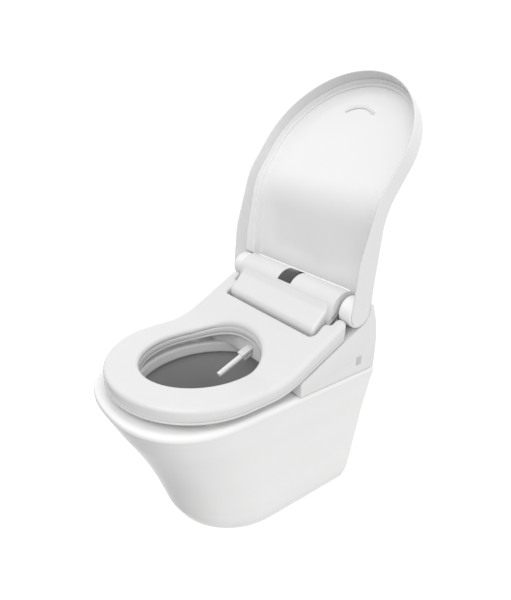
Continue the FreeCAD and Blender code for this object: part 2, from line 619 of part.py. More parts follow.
lug_screws = []
for sx in (-1, 1):
    for y, z in ((-116.5, 443.5), (-120.5, 432.0)):
        lug_screws.append(cyl((sx * 147.4, y, z), (sx, 0, 0), 2.0, 11).fuse(
            Part.makeCone(4.0, 2.0, 2.4, V(sx * 147.4, y, z), V(sx, 0, 0))).removeSplitter())
for scr in lug_screws:
    seat_top_shell = seat_top_shell.cut(scr)
for sx in (-1, 1):
    for y, z in ((-116.5, 443.5), (-120.5, 432.0)):
        seat_top_shell = seat_top_shell.cut(cyl((sx * 130, y, z), (sx, 0, 0), 4.3, 17.4))
write("lug_screws", Part.makeCompound(lug_screws))
for sx, nm in ((-1, "left"), (1, "right")):
    x0 = sx * 147.3
    # eye on the hinge axis, bar down to the inner face of the seat arm
    a, b = (HINGE_Y, HINGE_Z, 19.0), (-124.0, 438.5, 12.5)
    dy, dz = b[0] - a[0], b[1] - a[1]
    L = math.hypot(dy, dz)
    bar = cyl((x0, a[0], a[1]), (sx, 0, 0), a[2], 5.6).fuse(cyl((x0, b[0], b[1]), (sx, 0, 0), b[2], 5.6))
    ny, nzv = -dz / L, dy / L
    quad = [(a[0] + ny * 15, a[1] + nzv * 15), (b[0] + ny * 12, b[1] + nzv * 12),
            (b[0] - ny * 12, b[1] - nzv * 12), (a[0] - ny * 15, a[1] - nzv * 15)]
    xa, xb = sorted((x0, x0 + sx * 5.6))
    bar = bar.fuse(side(quad, xa, xb)).removeSplitter()
    seat_top_shell = seat_top_shell.cut(bar)
    low_part = low_part.cut(bar)
    bar = bar.cut(cyl((x0 - sx * 1, HINGE_Y, HINGE_Z), (sx, 0, 0), PIN_R + 0.06, 10))
    for scr in lug_screws:
        bar = bar.cut(scr)
    write("seat_lug_" + nm, solid(bar))
write("seat_top", solid(seat_top_shell))
write("seat_base", solid(low_part))

# ----------------------------------------------------------------------------
# lid, drawn closed, then opened
# ----------------------------------------------------------------------------
def tangent_low(p, r):
    """Lower tangent point from p to the circle of radius r about the hinge."""
    dy, dz = HINGE_Y - p[0], HINGE_Z - p[1]
    d = math.hypot(dy, dz)
    a = math.atan2(dz, dy) - math.asin(r / d)
    t = math.sqrt(d * d - r * r)
    return (p[0] + t * math.cos(a), p[1] + t * math.sin(a))


def lid_profile(r_end, top_front, lip_drop, slope=32.5):
    """Closed side outline of the lid's walls: lip, rounded rear end, top."""
    s = math.radians(slope)
    q = (HINGE_Y - r_end * math.sin(s), HINGE_Z + r_end * math.cos(s))
    yb = q[0] - (q[1] - top_front) / math.tan(s)
    pl = tangent_low((-141.0, 403.0 - lip_drop), r_end)
    pl_a = math.degrees(math.atan2(pl[1] - HINGE_Z, pl[0] - HINGE_Y))
    q_a = math.degrees(math.atan2(q[1] - HINGE_Z, q[0] - HINGE_Y))
    arc = arc_pts(HINGE_Y, HINGE_Z, r_end, pl_a, q_a, 22)
    p = [(-600, LID_LIP - lip_drop), (-262.0, LID_LIP - lip_drop, 120.0), (-141.0, 403.0 - lip_drop, 100.0)]
    return p + arc + [(yb, top_front, 130.0), (-600, top_front)]


PANEL_Z = 397.5         # inner face of the closed cover's flat front


def panel_line(off):
    """Line of the panel between the walls, from its wrap over the housing to the front."""
    return [(-78.0, 520.0 + off), (-104.0, 512.0 + off * 1.05, 30.0),
            (-254.0, PANEL_Z + off * 0.98, 130.0), (-600, PANEL_Z + off)]


WRAP_X = 153.8          # half width of the wrap between the two knuckles
SHOULDER = 10.0
lid_u = u_prism(LID_W, LID_TIP, LID_NOSE, 60.0, 250, 700)
lid_u_in = u_prism(LID_W - LID_WALL, LID_TIP + LID_WALL, LID_NOSE - LID_WALL, 60.0, 250, 700)


def sides_behind(x, y):
    """The two corners beside the wrap."""
    return box(x, 300, y, 100, 300, 700).fuse(box(-300, -x, y, 100, 300, 700))


walls = lid_u.common(side(lid_profile(26.5, 395.5, 0.0), -300, 300))
raised = u_prism(LID_W - SHOULDER, LID_TIP + SHOULDER, LID_NOSE - SHOULDER, -76.0, 250, 700)
raised = raised.common(side(panel_line(4.0) + [(-600, 380.0), (-254.0, 380.0), (-104.0, 480.0), (-84.0, 500.0)], -300, 300))
raised = raised.cut(sides_behind(WRAP_X, -132.0))
room_low = lid_u_in.common(side(lid_profile(23.0, 392.0, 60.0), -300, 300))
room_top = u_prism(LID_W - SHOULDER - LID_WALL, LID_TIP + SHOULDER + LID_WALL, LID_NOSE - SHOULDER - LID_WALL, 60.0, 250, 700)
room_top = room_top.common(side(panel_line(0.0) + [(-600, 340.0), (-262.0, 340.0), (-60.0, 380.0), (-60.0, 520.0)], -300, 300))
room_top = room_top.cut(sides_behind(WRAP_X - LID_WALL, -135.0))
lid_cover = walls.fuse(raised).cut(room_low).cut(room_top)
lid_cover = lid_cover.cut(Part.makeCylinder(41.5, 2 * WRAP_X, V(-WRAP_X, HINGE_Y, HINGE_Z), V(1, 0, 0)))
lid_cover = lid_cover.cut(side([(-104.5, 504.0), (-75.0, 520.0), (60, 520), (60, 380), (-170, 380), (-170, 448)],
                               -(WRAP_X - LID_WALL), WRAP_X - LID_WALL))
for sx in (-1, 1):
    lid_cover = lid_cover.cut(cyl((sx * 150, HINGE_Y, HINGE_Z), (sx, 0, 0), KNUCKLE_R, LID_W - LID_WALL - 150))
write("lid_cover", rot(solid(lid_cover), LID_OPEN))

# liner: a shallow tray inside the cover
LINER = 2.6
ln_out = u_prism(LID_W - 14.0, LID_TIP + 14.0, LID_NOSE - 14.0, -146.0, 250, 700)
ln_in = u_prism(LID_W - 14.0 - LINER, LID_TIP + 14.0 + LINER, LID_NOSE - 14.0 - LINER, -100.0, 250, 700)
low_line = [(-100.0, seat_top(-100.0) + 4.0), (SEAT_BEND_TOP, SEAT_TOP + 4.0, 150.0), (-600, SEAT_TOP + 4.0)]
liner = ln_out.common(side(panel_line(-0.3) + low_line[::-1], -300, 300))
liner = liner.cut(ln_in.common(side(panel_line(-0.3 - LINER) + [(-600, 300), (-60, 300)], -300, 300)))
liner = solid(liner)
write("lid_liner", rot(liner, LID_OPEN))

pad = cyl((0, -402.0, PANEL_Z - 0.3 - LINER - 2.4), (0, 0, 1), 63.5, 2.4).cut(cyl((0, -402.0, 380), (0, 0, 1), 57.0, 40))
pad = pad.common(plan([(0, -402.0), (-80, -512.0), (80, -512.0)], 380, 420))
pad = fuse([pad] + [cyl((60.25 * math.sin(a), -402.0 - 60.25 * math.cos(a), PANEL_Z - 0.3 - LINER - 2.4), (0, 0, 1), 3.25, 2.4)
                    for a in (-math.atan2(80, 110), math.atan2(80, 110))])
write("lid_crescent_pad", rot(solid(pad), LID_OPEN))

lid_bushes = []
for sx, nm in ((-1, "left"), (1, "right")):
    kn = cyl((sx * 154.2, HINGE_Y, HINGE_Z), (sx, 0, 0), KNUCKLE_R, LID_W - LID_WALL - 154.2)
    kn = kn.cut(cyl((sx * 150, HINGE_Y, HINGE_Z), (sx, 0, 0), 10.0, 28))
    write("lid_knuckle_" + nm, rot(solid(kn), LID_OPEN))
    bu = cyl((sx * 154.2, HINGE_Y, HINGE_Z), (sx, 0, 0), 10.0, 23).cut(
        cyl((sx * 150, HINGE_Y, HINGE_Z), (sx, 0, 0), PIN_R + 0.06, 30))
    lid_bushes.append(bu)
write("lid_bushes", rot(Part.makeCompound(lid_bushes), LID_OPEN))

# ----------------------------------------------------------------------------
# nozzle: cradle, wand, tip, rack and pinion drive
# drawn with the wand along +Y from its tip, then tilted into place
# ----------------------------------------------------------------------------
cradle = box(-10, 10, 65, 243, -8, 8)
cradle = fillet(cradle, [e for e in cradle.Edges if abs(e.Length - 178) < 1], (1.5,))
cradle = nz(cradle)
cradle = fuse([cradle, box(-7, 7, -122, -100, 345.0, 386.0)])
cradle = cradle.cut(nz(cyl((0, 60, 0), (0, 1, 0), WAND_R + 0.4, 200)))
cradle = cradle.cut(nz(box(4, 12, 66, 252, -3.2, 3.2)))
write("nozzle_cradle", solid(cradle))

TIP_LEN = 22.0
tip = cyl((0, 0, 0), (0, 1, 0), WAND_R, TIP_LEN)
tip = fillet(tip, [e for e in tip.Edges if e.BoundBox.YMax < 0.1], (1.8, 1.0))
for k, a in ((7.0, 0), (11.5, -1.6), (11.5, 1.6)):
    tip = tip.cut(cyl((a, k, 0), (0, 0, 1), 0.6, 10))
write("nozzle_tip", nz(solid(tip)))
wand = cyl((0, TIP_LEN, 0), (0, 1, 0), WAND_R, WAND_LEN - TIP_LEN)
write("nozzle_wand", nz(wand))

PITCH = math.pi
PIN_S = 150.0
rack = box(4.5, 8.3, 66.8, 161, -2.3, 2.3).cut(cyl((0, 0, 0), (0, 1, 0), WAND_R, 300))
teeth = []
k0 = -26
for k in range(k0, 4):
    yc = PIN_S + k * PITCH
    if yc < 69 or yc > 159.5:
        continue
    q = [(8.2, yc - 0.92), (10.3, yc - 0.28), (10.3, yc + 0.28), (8.2, yc + 0.92)]
    teeth.append(plan(q, -2.3, 2.3))
rack = fuse([rack] + teeth)
write("nozzle_rack", nz(solid(rack)))

pc = (9.5 + PINION_R, PIN_S)
pinion = cyl((pc[0], pc[1], -2.3), (0, 0, 1), PINION_R - 1.25, 4.6)
pt = []
for k in range(16):
    a = math.pi + (k + 0.5) * 2 * math.pi / 16
    ca, sa = math.cos(a), math.sin(a)
    q = [(6.5, -0.95), (PINION_R + 0.8, -0.26), (PINION_R + 0.8, 0.26), (6.5, 0.95)]
    pt.append(plan([(pc[0] + r * ca - t * sa, pc[1] + r * sa + t * ca) for r, t in q], -2.3, 2.3))
pinion = fuse([pinion] + pt + [cyl((pc[0], pc[1], 2.3), (0, 0, 1), 2.0, 11.0)])
write("drive_pinion", nz(solid(pinion)))
motor = cyl((pc[0], pc[1], 8.3), (0, 0, 1), 12.0, 9.0).fuse(box(pc[0] - 2, pc[0] + 16, pc[1] + 8, pc[1] + 15, 8.3, 13))
motor = motor.cut(cyl((pc[0], pc[1], 7.0), (0, 0, 1), 2.05, 6.8)).removeSplitter()
write("nozzle_motor", nz(solid(motor)))

# ----------------------------------------------------------------------------
# works inside the base
# ----------------------------------------------------------------------------
tank = rbox(-168, -106, -152, -70, 345.0, 392.0, 8)
tank = fillet(tank, [e for e in tank.Edges if e.BoundBox.ZMin > 391.9], (5.0, 3.0))
write("heater_tank", solid(tank))
valve = fuse([box(-140, -106, -58, -36, 352, 396), box(-132, -108, -56, -40, 345, 352),
              cyl((-162, -47, 374), (1, 0, 0), 10.0, 22)])
valve = valve.cut(cyl((WATER_X, -44, PORT_Z), (0, 1, 0), 6.0, 20))
write("inlet_valve", solid(valve))
fit = fuse([cyl((WATER_X, -30, PORT_Z), (0, 1, 0), 10.45, 20.5), cyl((WATER_X, -36, PORT_Z), (0, 1, 0), 14.0, 6)])
fit = fit.cut(cyl((WATER_X, -40, PORT_Z), (0, 1, 0), 6.0, 50))
write("inlet_fitting", solid(fit))
write("supply_hose", cyl((WATER_X, -70, PORT_Z), (0, 1, 0), 5.0, 12).cut(cyl((WATER_X, -71, PORT_Z), (0, 1, 0), 3.4, 14)))
write("nozzle_hose", cyl((-106, -138, 379), (1, 0, 0), 4.0, 96).cut(cyl((-107, -138, 379), (1, 0, 0), 2.6, 98)))
pump = fuse([cyl((-68, -70, 366), (1, 0, 0), 17.0, 40), box(-64, -32, -84, -56, 345, 353), cyl((-28, -70, 366), (1, 0, 0), 6.0, 8)])
write("air_pump", solid(pump))
board = fuse([box(108, 160, -186, -96, 350.0, 351.6), box(112, 118, -182, -176, 345.0, 350.0), box(150, 156, -182, -176, 345.0, 350.0),
              box(112, 118, -106, -100, 345.0, 350.0), box(150, 156, -106, -100, 345.0, 350.0),
              box(116, 134, -170, -150, 351.6, 364.0), box(140, 154, -166, -152, 351.6, 356.0),
              box(120, 132, -136, -124, 351.6, 354.0), cyl((146, -130, 351.6), (0, 0, 1), 6.0, 16.0)])
write("control_board", solid(board))
FAN = (132.0, -66.0)
fan_box = rbox(FAN[0] - 24, FAN[0] + 24, FAN[1] - 24, FAN[1] + 24, 345.0, 373.0, 6)
fan_box = fan_box.cut(cyl((FAN[0], FAN[1], 348.0), (0, 0, 1), 21.0, 22.0)).cut(cyl((FAN[0], FAN[1], 360), (0, 0, 1), 12.0, 20))
fan_box = fan_box.cut(box(FAN[0] - 30, FAN[0] - 8, FAN[1] + 8, FAN[1] + 19, 352, 367))
fan_box = fuse([fan_box, cyl((FAN[0], FAN[1], 347.0), (0, 0, 1), 2.0, 19.0)])
write("fan_housing", solid(fan_box))
imp = fuse([cyl((FAN[0], FAN[1], 349.0), (0, 0, 1), 19.0, 2.0), cyl((FAN[0], FAN[1], 351.0), (0, 0, 1), 6.0, 16.0)] +
           [cyl((FAN[0], FAN[1], 366.0), (0, 0, 1), 6.0, 1.0)])
blades = []
for k in range(9):
    b = box(FAN[0] + 11.0, FAN[0] + 18.9, FAN[1] - 0.8, FAN[1] + 0.8, 350.5, 366.0)
    b.rotate(V(FAN[0], FAN[1], 0), V(0, 0, 1), 40.0 * k)
    blades.append(b)
imp = fuse([imp] + blades).cut(cyl((FAN[0], FAN[1], 340.0), (0, 0, 1), 2.06, 40.0))
write("fan_impeller", solid(imp))
filt = rbox(34, 70, -96, -48, 345.0, 385.0, 4)
for k in range(6):
    filt = filt.cut(box(38 + 5.2 * k, 41 + 5.2 * k, -92, -52, 380.0, 386.0))
write("deodoriser_filter", solid(filt))
gl = fuse([cyl((CORD_X, -8, PORT_Z), (0, 1, 0), 12.0, 3.0), cyl((CORD_X, -20, PORT_Z), (0, 1, 0), 8.0, 12.0)])
write("cable_gland", solid(gl.cut(cyl((CORD_X, -30, PORT_Z), (0, 1, 0), 3.6, 40))))

# ----------------------------------------------------------------------------
# side button and its spring
# ----------------------------------------------------------------------------
bt = box(171, 182.2, BTN_Y - BTN_W / 2 + 0.4, BTN_Y + BTN_W / 2 - 0.4, BTN_Z - BTN_H / 2 + 0.4, BTN_Z + BTN_H / 2 - 0.4)
bt = fillet(bt, [e for e in bt.Edges if e.BoundBox.XMin > 182.1], (0.8,))
bt = fuse([bt, box(175.4, 178.4, BTN_Y - BTN_W / 2 - 2, BTN_Y + BTN_W / 2 + 2, BTN_Z - BTN_H / 2 - 2, BTN_Z + BTN_H / 2 + 2)])
write("side_button", solid(bt))
helix = Part.makeHelix(2.0, 7.2, 4.0)
ring = Part.makePolygon([V(4.0 + 0.45 * math.cos(math.radians(60 * k)), 0, 0.45 * math.sin(math.radians(60 * k))) for k in (0, 1, 2, 3, 4, 5, 0)])
spring = Part.Wire(helix.Edges).makePipeShell([ring], True, True)
spring.rotate(V(0, 0, 0), V(0, 1, 0), 90)
spring.translate(V(163.4, BTN_Y, BTN_Z))
write("button_spring", solid(spring))
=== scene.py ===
import bpy
import bmesh
import json
import math
import numpy as np
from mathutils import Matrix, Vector
from mathutils.geometry import delaunay_2d_cdt


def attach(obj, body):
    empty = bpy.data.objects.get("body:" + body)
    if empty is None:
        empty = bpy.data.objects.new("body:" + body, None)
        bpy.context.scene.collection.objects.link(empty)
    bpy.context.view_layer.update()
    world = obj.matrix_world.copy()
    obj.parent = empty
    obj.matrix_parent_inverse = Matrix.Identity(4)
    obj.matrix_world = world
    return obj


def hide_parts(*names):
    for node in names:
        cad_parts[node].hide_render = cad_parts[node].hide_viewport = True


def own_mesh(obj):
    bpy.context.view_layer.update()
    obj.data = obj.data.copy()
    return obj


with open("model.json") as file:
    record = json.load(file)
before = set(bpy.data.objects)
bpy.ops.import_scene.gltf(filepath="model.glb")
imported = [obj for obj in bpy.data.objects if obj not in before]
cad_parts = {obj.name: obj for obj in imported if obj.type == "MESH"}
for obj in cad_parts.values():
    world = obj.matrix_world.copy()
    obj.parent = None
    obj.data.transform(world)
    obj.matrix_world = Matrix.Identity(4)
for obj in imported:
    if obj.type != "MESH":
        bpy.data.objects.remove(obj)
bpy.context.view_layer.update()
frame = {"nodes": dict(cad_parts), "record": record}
NODES = frame["nodes"]
scene = bpy.context.scene

# ---------------------------------------------------------------- dimensions, mm, drawing frame
STUD_Z = 248.0
HINGE = np.array([-73.0, 478.0])
LID_OPEN = 126.0
PAN = np.array([
    (0.0, 127.0, -374.7, 150.0, 2.0), (4.0, 130.0, -381.5, 150.3, 2.0), (12.0, 132.6, -387.0, 151.0, 2.0),
    (30.0, 138.6, -397.8, 153.5, 2.0), (65.0, 144.8, -410.9, 158.0, 2.0), (122.0, 151.0, -432.4, 164.0, 2.0),
    (168.0, 156.5, -452.8, 170.0, 2.03), (226.0, 163.2, -482.9, 177.0, 2.08), (270.0, 170.2, -507.8, 182.0, 2.16),
    (300.0, 174.9, -523.0, 186.0, 2.24), (319.0, 178.4, -532.4, 188.0, 2.30), (329.0, 180.3, -536.4, 189.5, 2.32),
    (334.5, 179.0, -535.1, 189.5, 2.32), (338.0, 174.5, -530.6, 186.0, 2.32)])


# ---------------------------------------------------------------- curves
def unit(v):
    v = np.asarray(v, float)
    return v / np.linalg.norm(v)


def corner(p0, p, p1, r, n):
    p0, p, p1 = (np.asarray(q[:2], float) for q in (p0, p, p1))
    a, b = unit(p0 - p), unit(p1 - p)
    ang = math.acos(max(-1.0, min(1.0, float(a @ b))))
    t = r / math.tan(ang / 2)
    c = p + unit(a + b) * r / math.sin(ang / 2)
    s, e = p + a * t - c, p + b * t - c
    a0, a1 = math.atan2(s[1], s[0]), math.atan2(e[1], e[0])
    d = (a1 - a0 + math.pi) % (2 * math.pi) - math.pi
    return [c + r * np.array([math.cos(a0 + d * k / n), math.sin(a0 + d * k / n)]) for k in range(n + 1)]


def trace(pts, step=4.0, closed=True, turn=9.0):
    """Sampled outline from (a, b) or (a, b, radius) corners."""
    out = []
    n = len(pts)
    for i, p in enumerate(pts):
        r = p[2] if len(p) > 2 else 0.0
        if r <= 0 or (not closed and i in (0, n - 1)):
            out.append(np.asarray(p[:2], float))
        else:
            a, b = unit(np.subtract(pts[i - 1][:2], p[:2])), unit(np.subtract(pts[(i + 1) % n][:2], p[:2]))
            bend = math.degrees(math.pi - math.acos(max(-1.0, min(1.0, float(a @ b)))))
            k = max(3, int(bend / turn), int(r * math.radians(bend) / step))
            out += corner(pts[i - 1], p, pts[(i + 1) % n], r, k)
    res = []
    m = len(out)
    for i in range(m if closed else m - 1):
        a, b = out[i], out[(i + 1) % m]
        d = np.linalg.norm(b - a)
        if d < 1e-6:
            continue
        k = max(1, int(math.ceil(d / step)))
        res += [a + (b - a) * j / k for j in range(k)]
    if not closed:
        res.append(out[-1])
    return np.array(res)


def ccw(loop):
    x, y = loop[:, 0], loop[:, 1]
    return loop if np.sum(x * np.roll(y, -1) - y * np.roll(x, -1)) > 0 else loop[::-1].copy()


def nose(w, tip, length, n=96):
    t = np.pi * np.arange(n + 1) / n
    return [(-w * math.cos(q), tip + length - length * math.sin(q)) for q in t]


def inward(loop):
    t1 = np.roll(loop, -1, 0) - loop
    t1 /= np.linalg.norm(t1, axis=1)[:, None]
    t0 = np.roll(t1, 1, 0)
    n1 = np.stack([-t1[:, 1], t1[:, 0]], 1)
    n = n1 + np.stack([-t0[:, 1], t0[:, 0]], 1)
    n /= np.linalg.norm(n, axis=1)[:, None]
    return n / np.maximum(0.5, np.sum(n * n1, axis=1))[:, None]


def line_fn(pts):
    """Function of y from a rounded open (y, z) line."""
    q = trace(pts, 2.0, False, 1.5)
    q = q[np.argsort(q[:, 0])]
    return lambda y: np.interp(y, q[:, 0], q[:, 1])


def pchip(x, y, q):
    x, y = np.asarray(x, float), np.asarray(y, float)
    h, d = np.diff(x), np.diff(y) / np.diff(x)
    m = np.zeros(len(x))
    for i in range(1, len(x) - 1):
        m[i] = (d[i - 1] * h[i] + d[i] * h[i - 1]) / (h[i] + h[i - 1])
    m[0], m[-1] = d[0], d[-1]
    k = np.clip(np.searchsorted(x, q) - 1, 0, len(h) - 1)
    t = (q - x[k]) / h[k]
    return ((2 * t ** 3 - 3 * t ** 2 + 1) * y[k] + (t ** 3 - 2 * t ** 2 + t) * h[k] * m[k]
            + (3 * t ** 2 - 2 * t ** 3) * y[k + 1] + (t ** 3 - t ** 2) * h[k] * m[k + 1])


def ramp(u, t):
    """Zero, then the line u, joined by a parabola of half length t."""
    return np.where(u < -t, 0.0, np.where(u > t, u, (u + t) ** 2 / (4 * t)))


def seat_low(y):
    u = np.asarray(y, float) + 250.0
    return 355.0 + ramp(u, 36.0) * math.tan(math.radians(27.0)) - ramp(-u, 36.0) * 6.0 / 310.0


def seat_top(y):
    return 384.0 + ramp(np.asarray(y, float) + 255.0, 39.0) * math.tan(math.radians(29.0))


# ---------------------------------------------------------------- mesh building
class Build:
    """Vertices and faces of one piece, in drawing millimetres."""

    def __init__(self):
        self.v = []
        self.f = []
        self.tag = []

    def add(self, pts):
        s = len(self.v)
        self.v += [tuple(map(float, p)) for p in pts]
        return list(range(s, len(self.v)))

    def strip(self, a, b, closed=True, tag=0):
        n = len(a)
        for i in range(n if closed else n - 1):
            j = (i + 1) % n
            self.f.append((a[i], a[j], b[j], b[i]))
            self.tag.append(tag)

    def fill(self, rings, point, flat, step=None, tag=0):
        """Triangles between closed rings; flat maps a vertex to 2-D, point maps 2-D to a vertex."""
        ids = [i for r in rings for i in r]
        loops = [np.array([flat(self.v[i]) for i in r]) for r in rings]
        pts = np.vstack(loops)
        edges, s = [], 0
        for l in loops:
            n = len(l)
            edges += [(s + i, s + (i + 1) % n) for i in range(n)]
            s += n
        if step:
            lo, hi = pts.min(0), pts.max(0)
            gx, gy = np.meshgrid(np.arange(lo[0] + step / 2, hi[0], step), np.arange(lo[1] + step / 2, hi[1], step))
            gx[1::2] += step / 2
            g = np.stack([gx.ravel(), gy.ravel()], 1)
            g = g[within(g, loops)]
            near = np.array([np.min(np.sum((pts - q) ** 2, 1)) for q in g]) if len(g) else np.zeros(0)
            g = g[near > (0.65 * step) ** 2] if len(g) else g
            if len(g):
                ids = ids + self.add([point(a, b) for a, b in g])
                pts = np.vstack([pts, g])
        res = delaunay_2d_cdt([Vector(p) for p in pts.tolist()], edges, [], 1, 1e-6)
        ov, of, src = np.array([tuple(v) for v in res[0]]), res[2], res[3]
        back = []
        for i, o in enumerate(src):
            if len(o):
                back.append(ids[o[0]])
            else:
                back += self.add([point(*ov[i])])
        mid = np.array([ov[list(t)].mean(0) for t in of])
        inside_hole = within(mid, loops[1:])
        for t, h in zip(of, inside_hole):
            if not h:
                self.f.append(tuple(back[i] for i in t))
                self.tag.append(tag)

    def face(self, ring, tag=0):
        self.f.append(tuple(ring))
        self.tag.append(tag)

    def cap(self, ring, centre, tag=0):
        c = self.add([centre])[0]
        n = len(ring)
        for i in range(n):
            self.f.append((ring[i], ring[(i + 1) % n], c))
            self.tag.append(tag)


def within(q, loops):
    odd = np.zeros(len(q), bool)
    for l in loops:
        a, b = l, np.roll(l, -1, 0)
        for s in range(0, len(q), 4000):
            p = q[s:s + 4000]
            hit = (a[None, :, 1] > p[:, 1:2]) != (b[None, :, 1] > p[:, 1:2])
            dy = np.where(b[:, 1] == a[:, 1], 1e-12, b[:, 1] - a[:, 1])
            x = (b[:, 0] - a[:, 0])[None] * (p[:, 1:2] - a[None, :, 1]) / dy[None] + a[None, :, 0]
            odd[s:s + 4000] ^= (np.sum(hit & (p[:, :1] < x), 1) % 2).astype(bool)
    return odd


def open_lid(p):
    """Closed-lid point to its open place."""
    p = np.atleast_2d(np.asarray(p, float)).copy()
    a = math.radians(-LID_OPEN)
    y, z = p[:, 1] - HINGE[0], p[:, 2] - HINGE[1]
    p[:, 1] = HINGE[0] + y * math.cos(a) - z * math.sin(a)
    p[:, 2] = HINGE[1] + y * math.sin(a) + z * math.cos(a)
    return p


def mesh_of(name, b, turn=None):
    p = np.array(b.v)
    if turn is not None:
        p = turn(p)
    p = (p - np.array([0, 0, STUD_Z])) * 0.001
    me = bpy.data.meshes.new(name)
    me.from_pydata(p.tolist(), [], b.f)
    me.polygons.foreach_set("material_index", np.array(b.tag, np.int32))
    bm = bmesh.new()
    bm.from_mesh(me)
    bmesh.ops.remove_doubles(bm, verts=bm.verts, dist=2e-6)
    bmesh.ops.recalc_face_normals(bm, faces=bm.faces)
    bm.to_mesh(me)
    bm.free()
    return me


def show(name, me, body, nodes, mats, sharp=38.0):
    me.name = name
    me.shade_smooth()
    me.set_sharp_from_angle(angle=math.radians(sharp))
    ob = bpy.data.objects.new(name, me)
    scene.collection.objects.link(ob)
    tags = np.zeros(len(me.polygons), np.int32)
    me.polygons.foreach_get("material_index", tags)
    me.materials.clear()
    for m in mats:
        me.materials.append(m)
    me.polygons.foreach_set("material_index", np.minimum(tags, len(mats) - 1))
    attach(ob, body)
    if nodes:
        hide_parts(*nodes)
    return ob


def boolean(me, tools, slots=(), solver="EXACT"):
    """tools: (operation, Build)."""
    for m in slots:
        me.materials.append(m)
    ob = bpy.data.objects.new("work", me)
    scene.collection.objects.link(ob)
    made = []
    for op, b in tools:
        t = bpy.data.objects.new("tool", mesh_of("tool", b))
        scene.collection.objects.link(t)
        made.append(t)
        m = ob.modifiers.new("b", "BOOLEAN")
        m.operation, m.object, m.solver = op, t, solver
    dg = bpy.context.evaluated_depsgraph_get()
    new = bpy.data.meshes.new_from_object(ob.evaluated_get(dg))
    for o in [ob] + made:
        bpy.data.objects.remove(o)
    bm = bmesh.new()
    bm.from_mesh(new)
    bmesh.ops.remove_doubles(bm, verts=bm.verts, dist=4e-6)
    bmesh.ops.dissolve_degenerate(bm, dist=2e-6, edges=bm.edges)
    bmesh.ops.holes_fill(bm, edges=[e for e in bm.edges if len(e.link_faces) == 1], sides=8)
    bm.to_mesh(new)
    bm.free()
    return new


def plate(outer, holes, prof_o, prof_h, top, bot, step, tag=0):
    """Flat-ish piece: every outline has a profile of (inset, z function) from its top to its underside."""
    b = Build()
    firsts, lasts = [], []
    for loop, prof in [(ccw(outer), prof_o)] + [(ccw(h)[::-1], prof_h) for h in holes]:
        n = inward(loop)
        prev = None
        for ins, z in prof:
            q = loop + n * ins
            ring = b.add(np.c_[q, z(q[:, 0], q[:, 1])])
            if prev is None:
                firsts.append(ring)
            else:
                b.strip(prev, ring, tag=tag)
            prev = ring
        lasts.append(prev)
    b.fill(firsts, lambda x, y: (x, y, float(top(np.array([x]), np.array([y]))[0])), lambda v: v[:2], step, tag)
    b.fill(lasts, lambda x, y: (x, y, float(bot(np.array([x]), np.array([y]))[0])), lambda v: v[:2], step, tag)
    return b


def prism(outline, x0, x1, r, n=6, parts=1):
    """Piece along X from a (y, z) outline, with ends rounded by r."""
    b = Build()
    loop = ccw(outline)
    nn = inward(loop)
    rings = []

    def ring(x, ins):
        q = loop + nn * ins
        rings.append(b.add(np.c_[np.full(len(q), x), q]))

    for k in range(n + 1):
        f = math.pi / 2 * k / n
        ring(x0 + r * (1 - math.cos(f)), r * (1 - math.sin(f)))
    for k in range(1, parts):
        ring(x0 + r + (x1 - x0 - 2 * r) * k / parts, 0.0)
    for k in range(n, -1, -1):
        f = math.pi / 2 * k / n
        ring(x1 - r * (1 - math.cos(f)), r * (1 - math.sin(f)))
    for a, c in zip(rings, rings[1:]):
        b.strip(a, c)
    b.face(rings[0])
    b.face(rings[-1])
    return b


def tube(p0, p1, r, n=48):
    """Round bar between two points."""
    b = Build()
    p0, p1 = np.asarray(p0, float), np.asarray(p1, float)
    d = unit(p1 - p0)
    u = unit(np.cross(d, [0.3, 0.9, 0.2] if abs(d[1]) < 0.9 else [1, 0, 0]))
    w = np.cross(d, u)
    t = 2 * np.pi * np.arange(n) / n
    c = r * (np.cos(t)[:, None] * u + np.sin(t)[:, None] * w)
    a, e = b.add(p0 + c), b.add(p1 + c)
    b.strip(a, e)
    b.cap(a, p0)
    b.cap(e, p1)
    return b


def block(x0, x1, y0, y1, z0, z1, r=0.0):
    if r > 0:
        return prism(trace([(y0, z0, r), (y1, z0, r), (y1, z1, r), (y0, z1, r)], 6.0), x0, x1, 0.01, 1)
    return prism(np.array([(y0, z0), (y1, z0), (y1, z1), (y0, z1)], float), x0, x1, 0.01, 1)


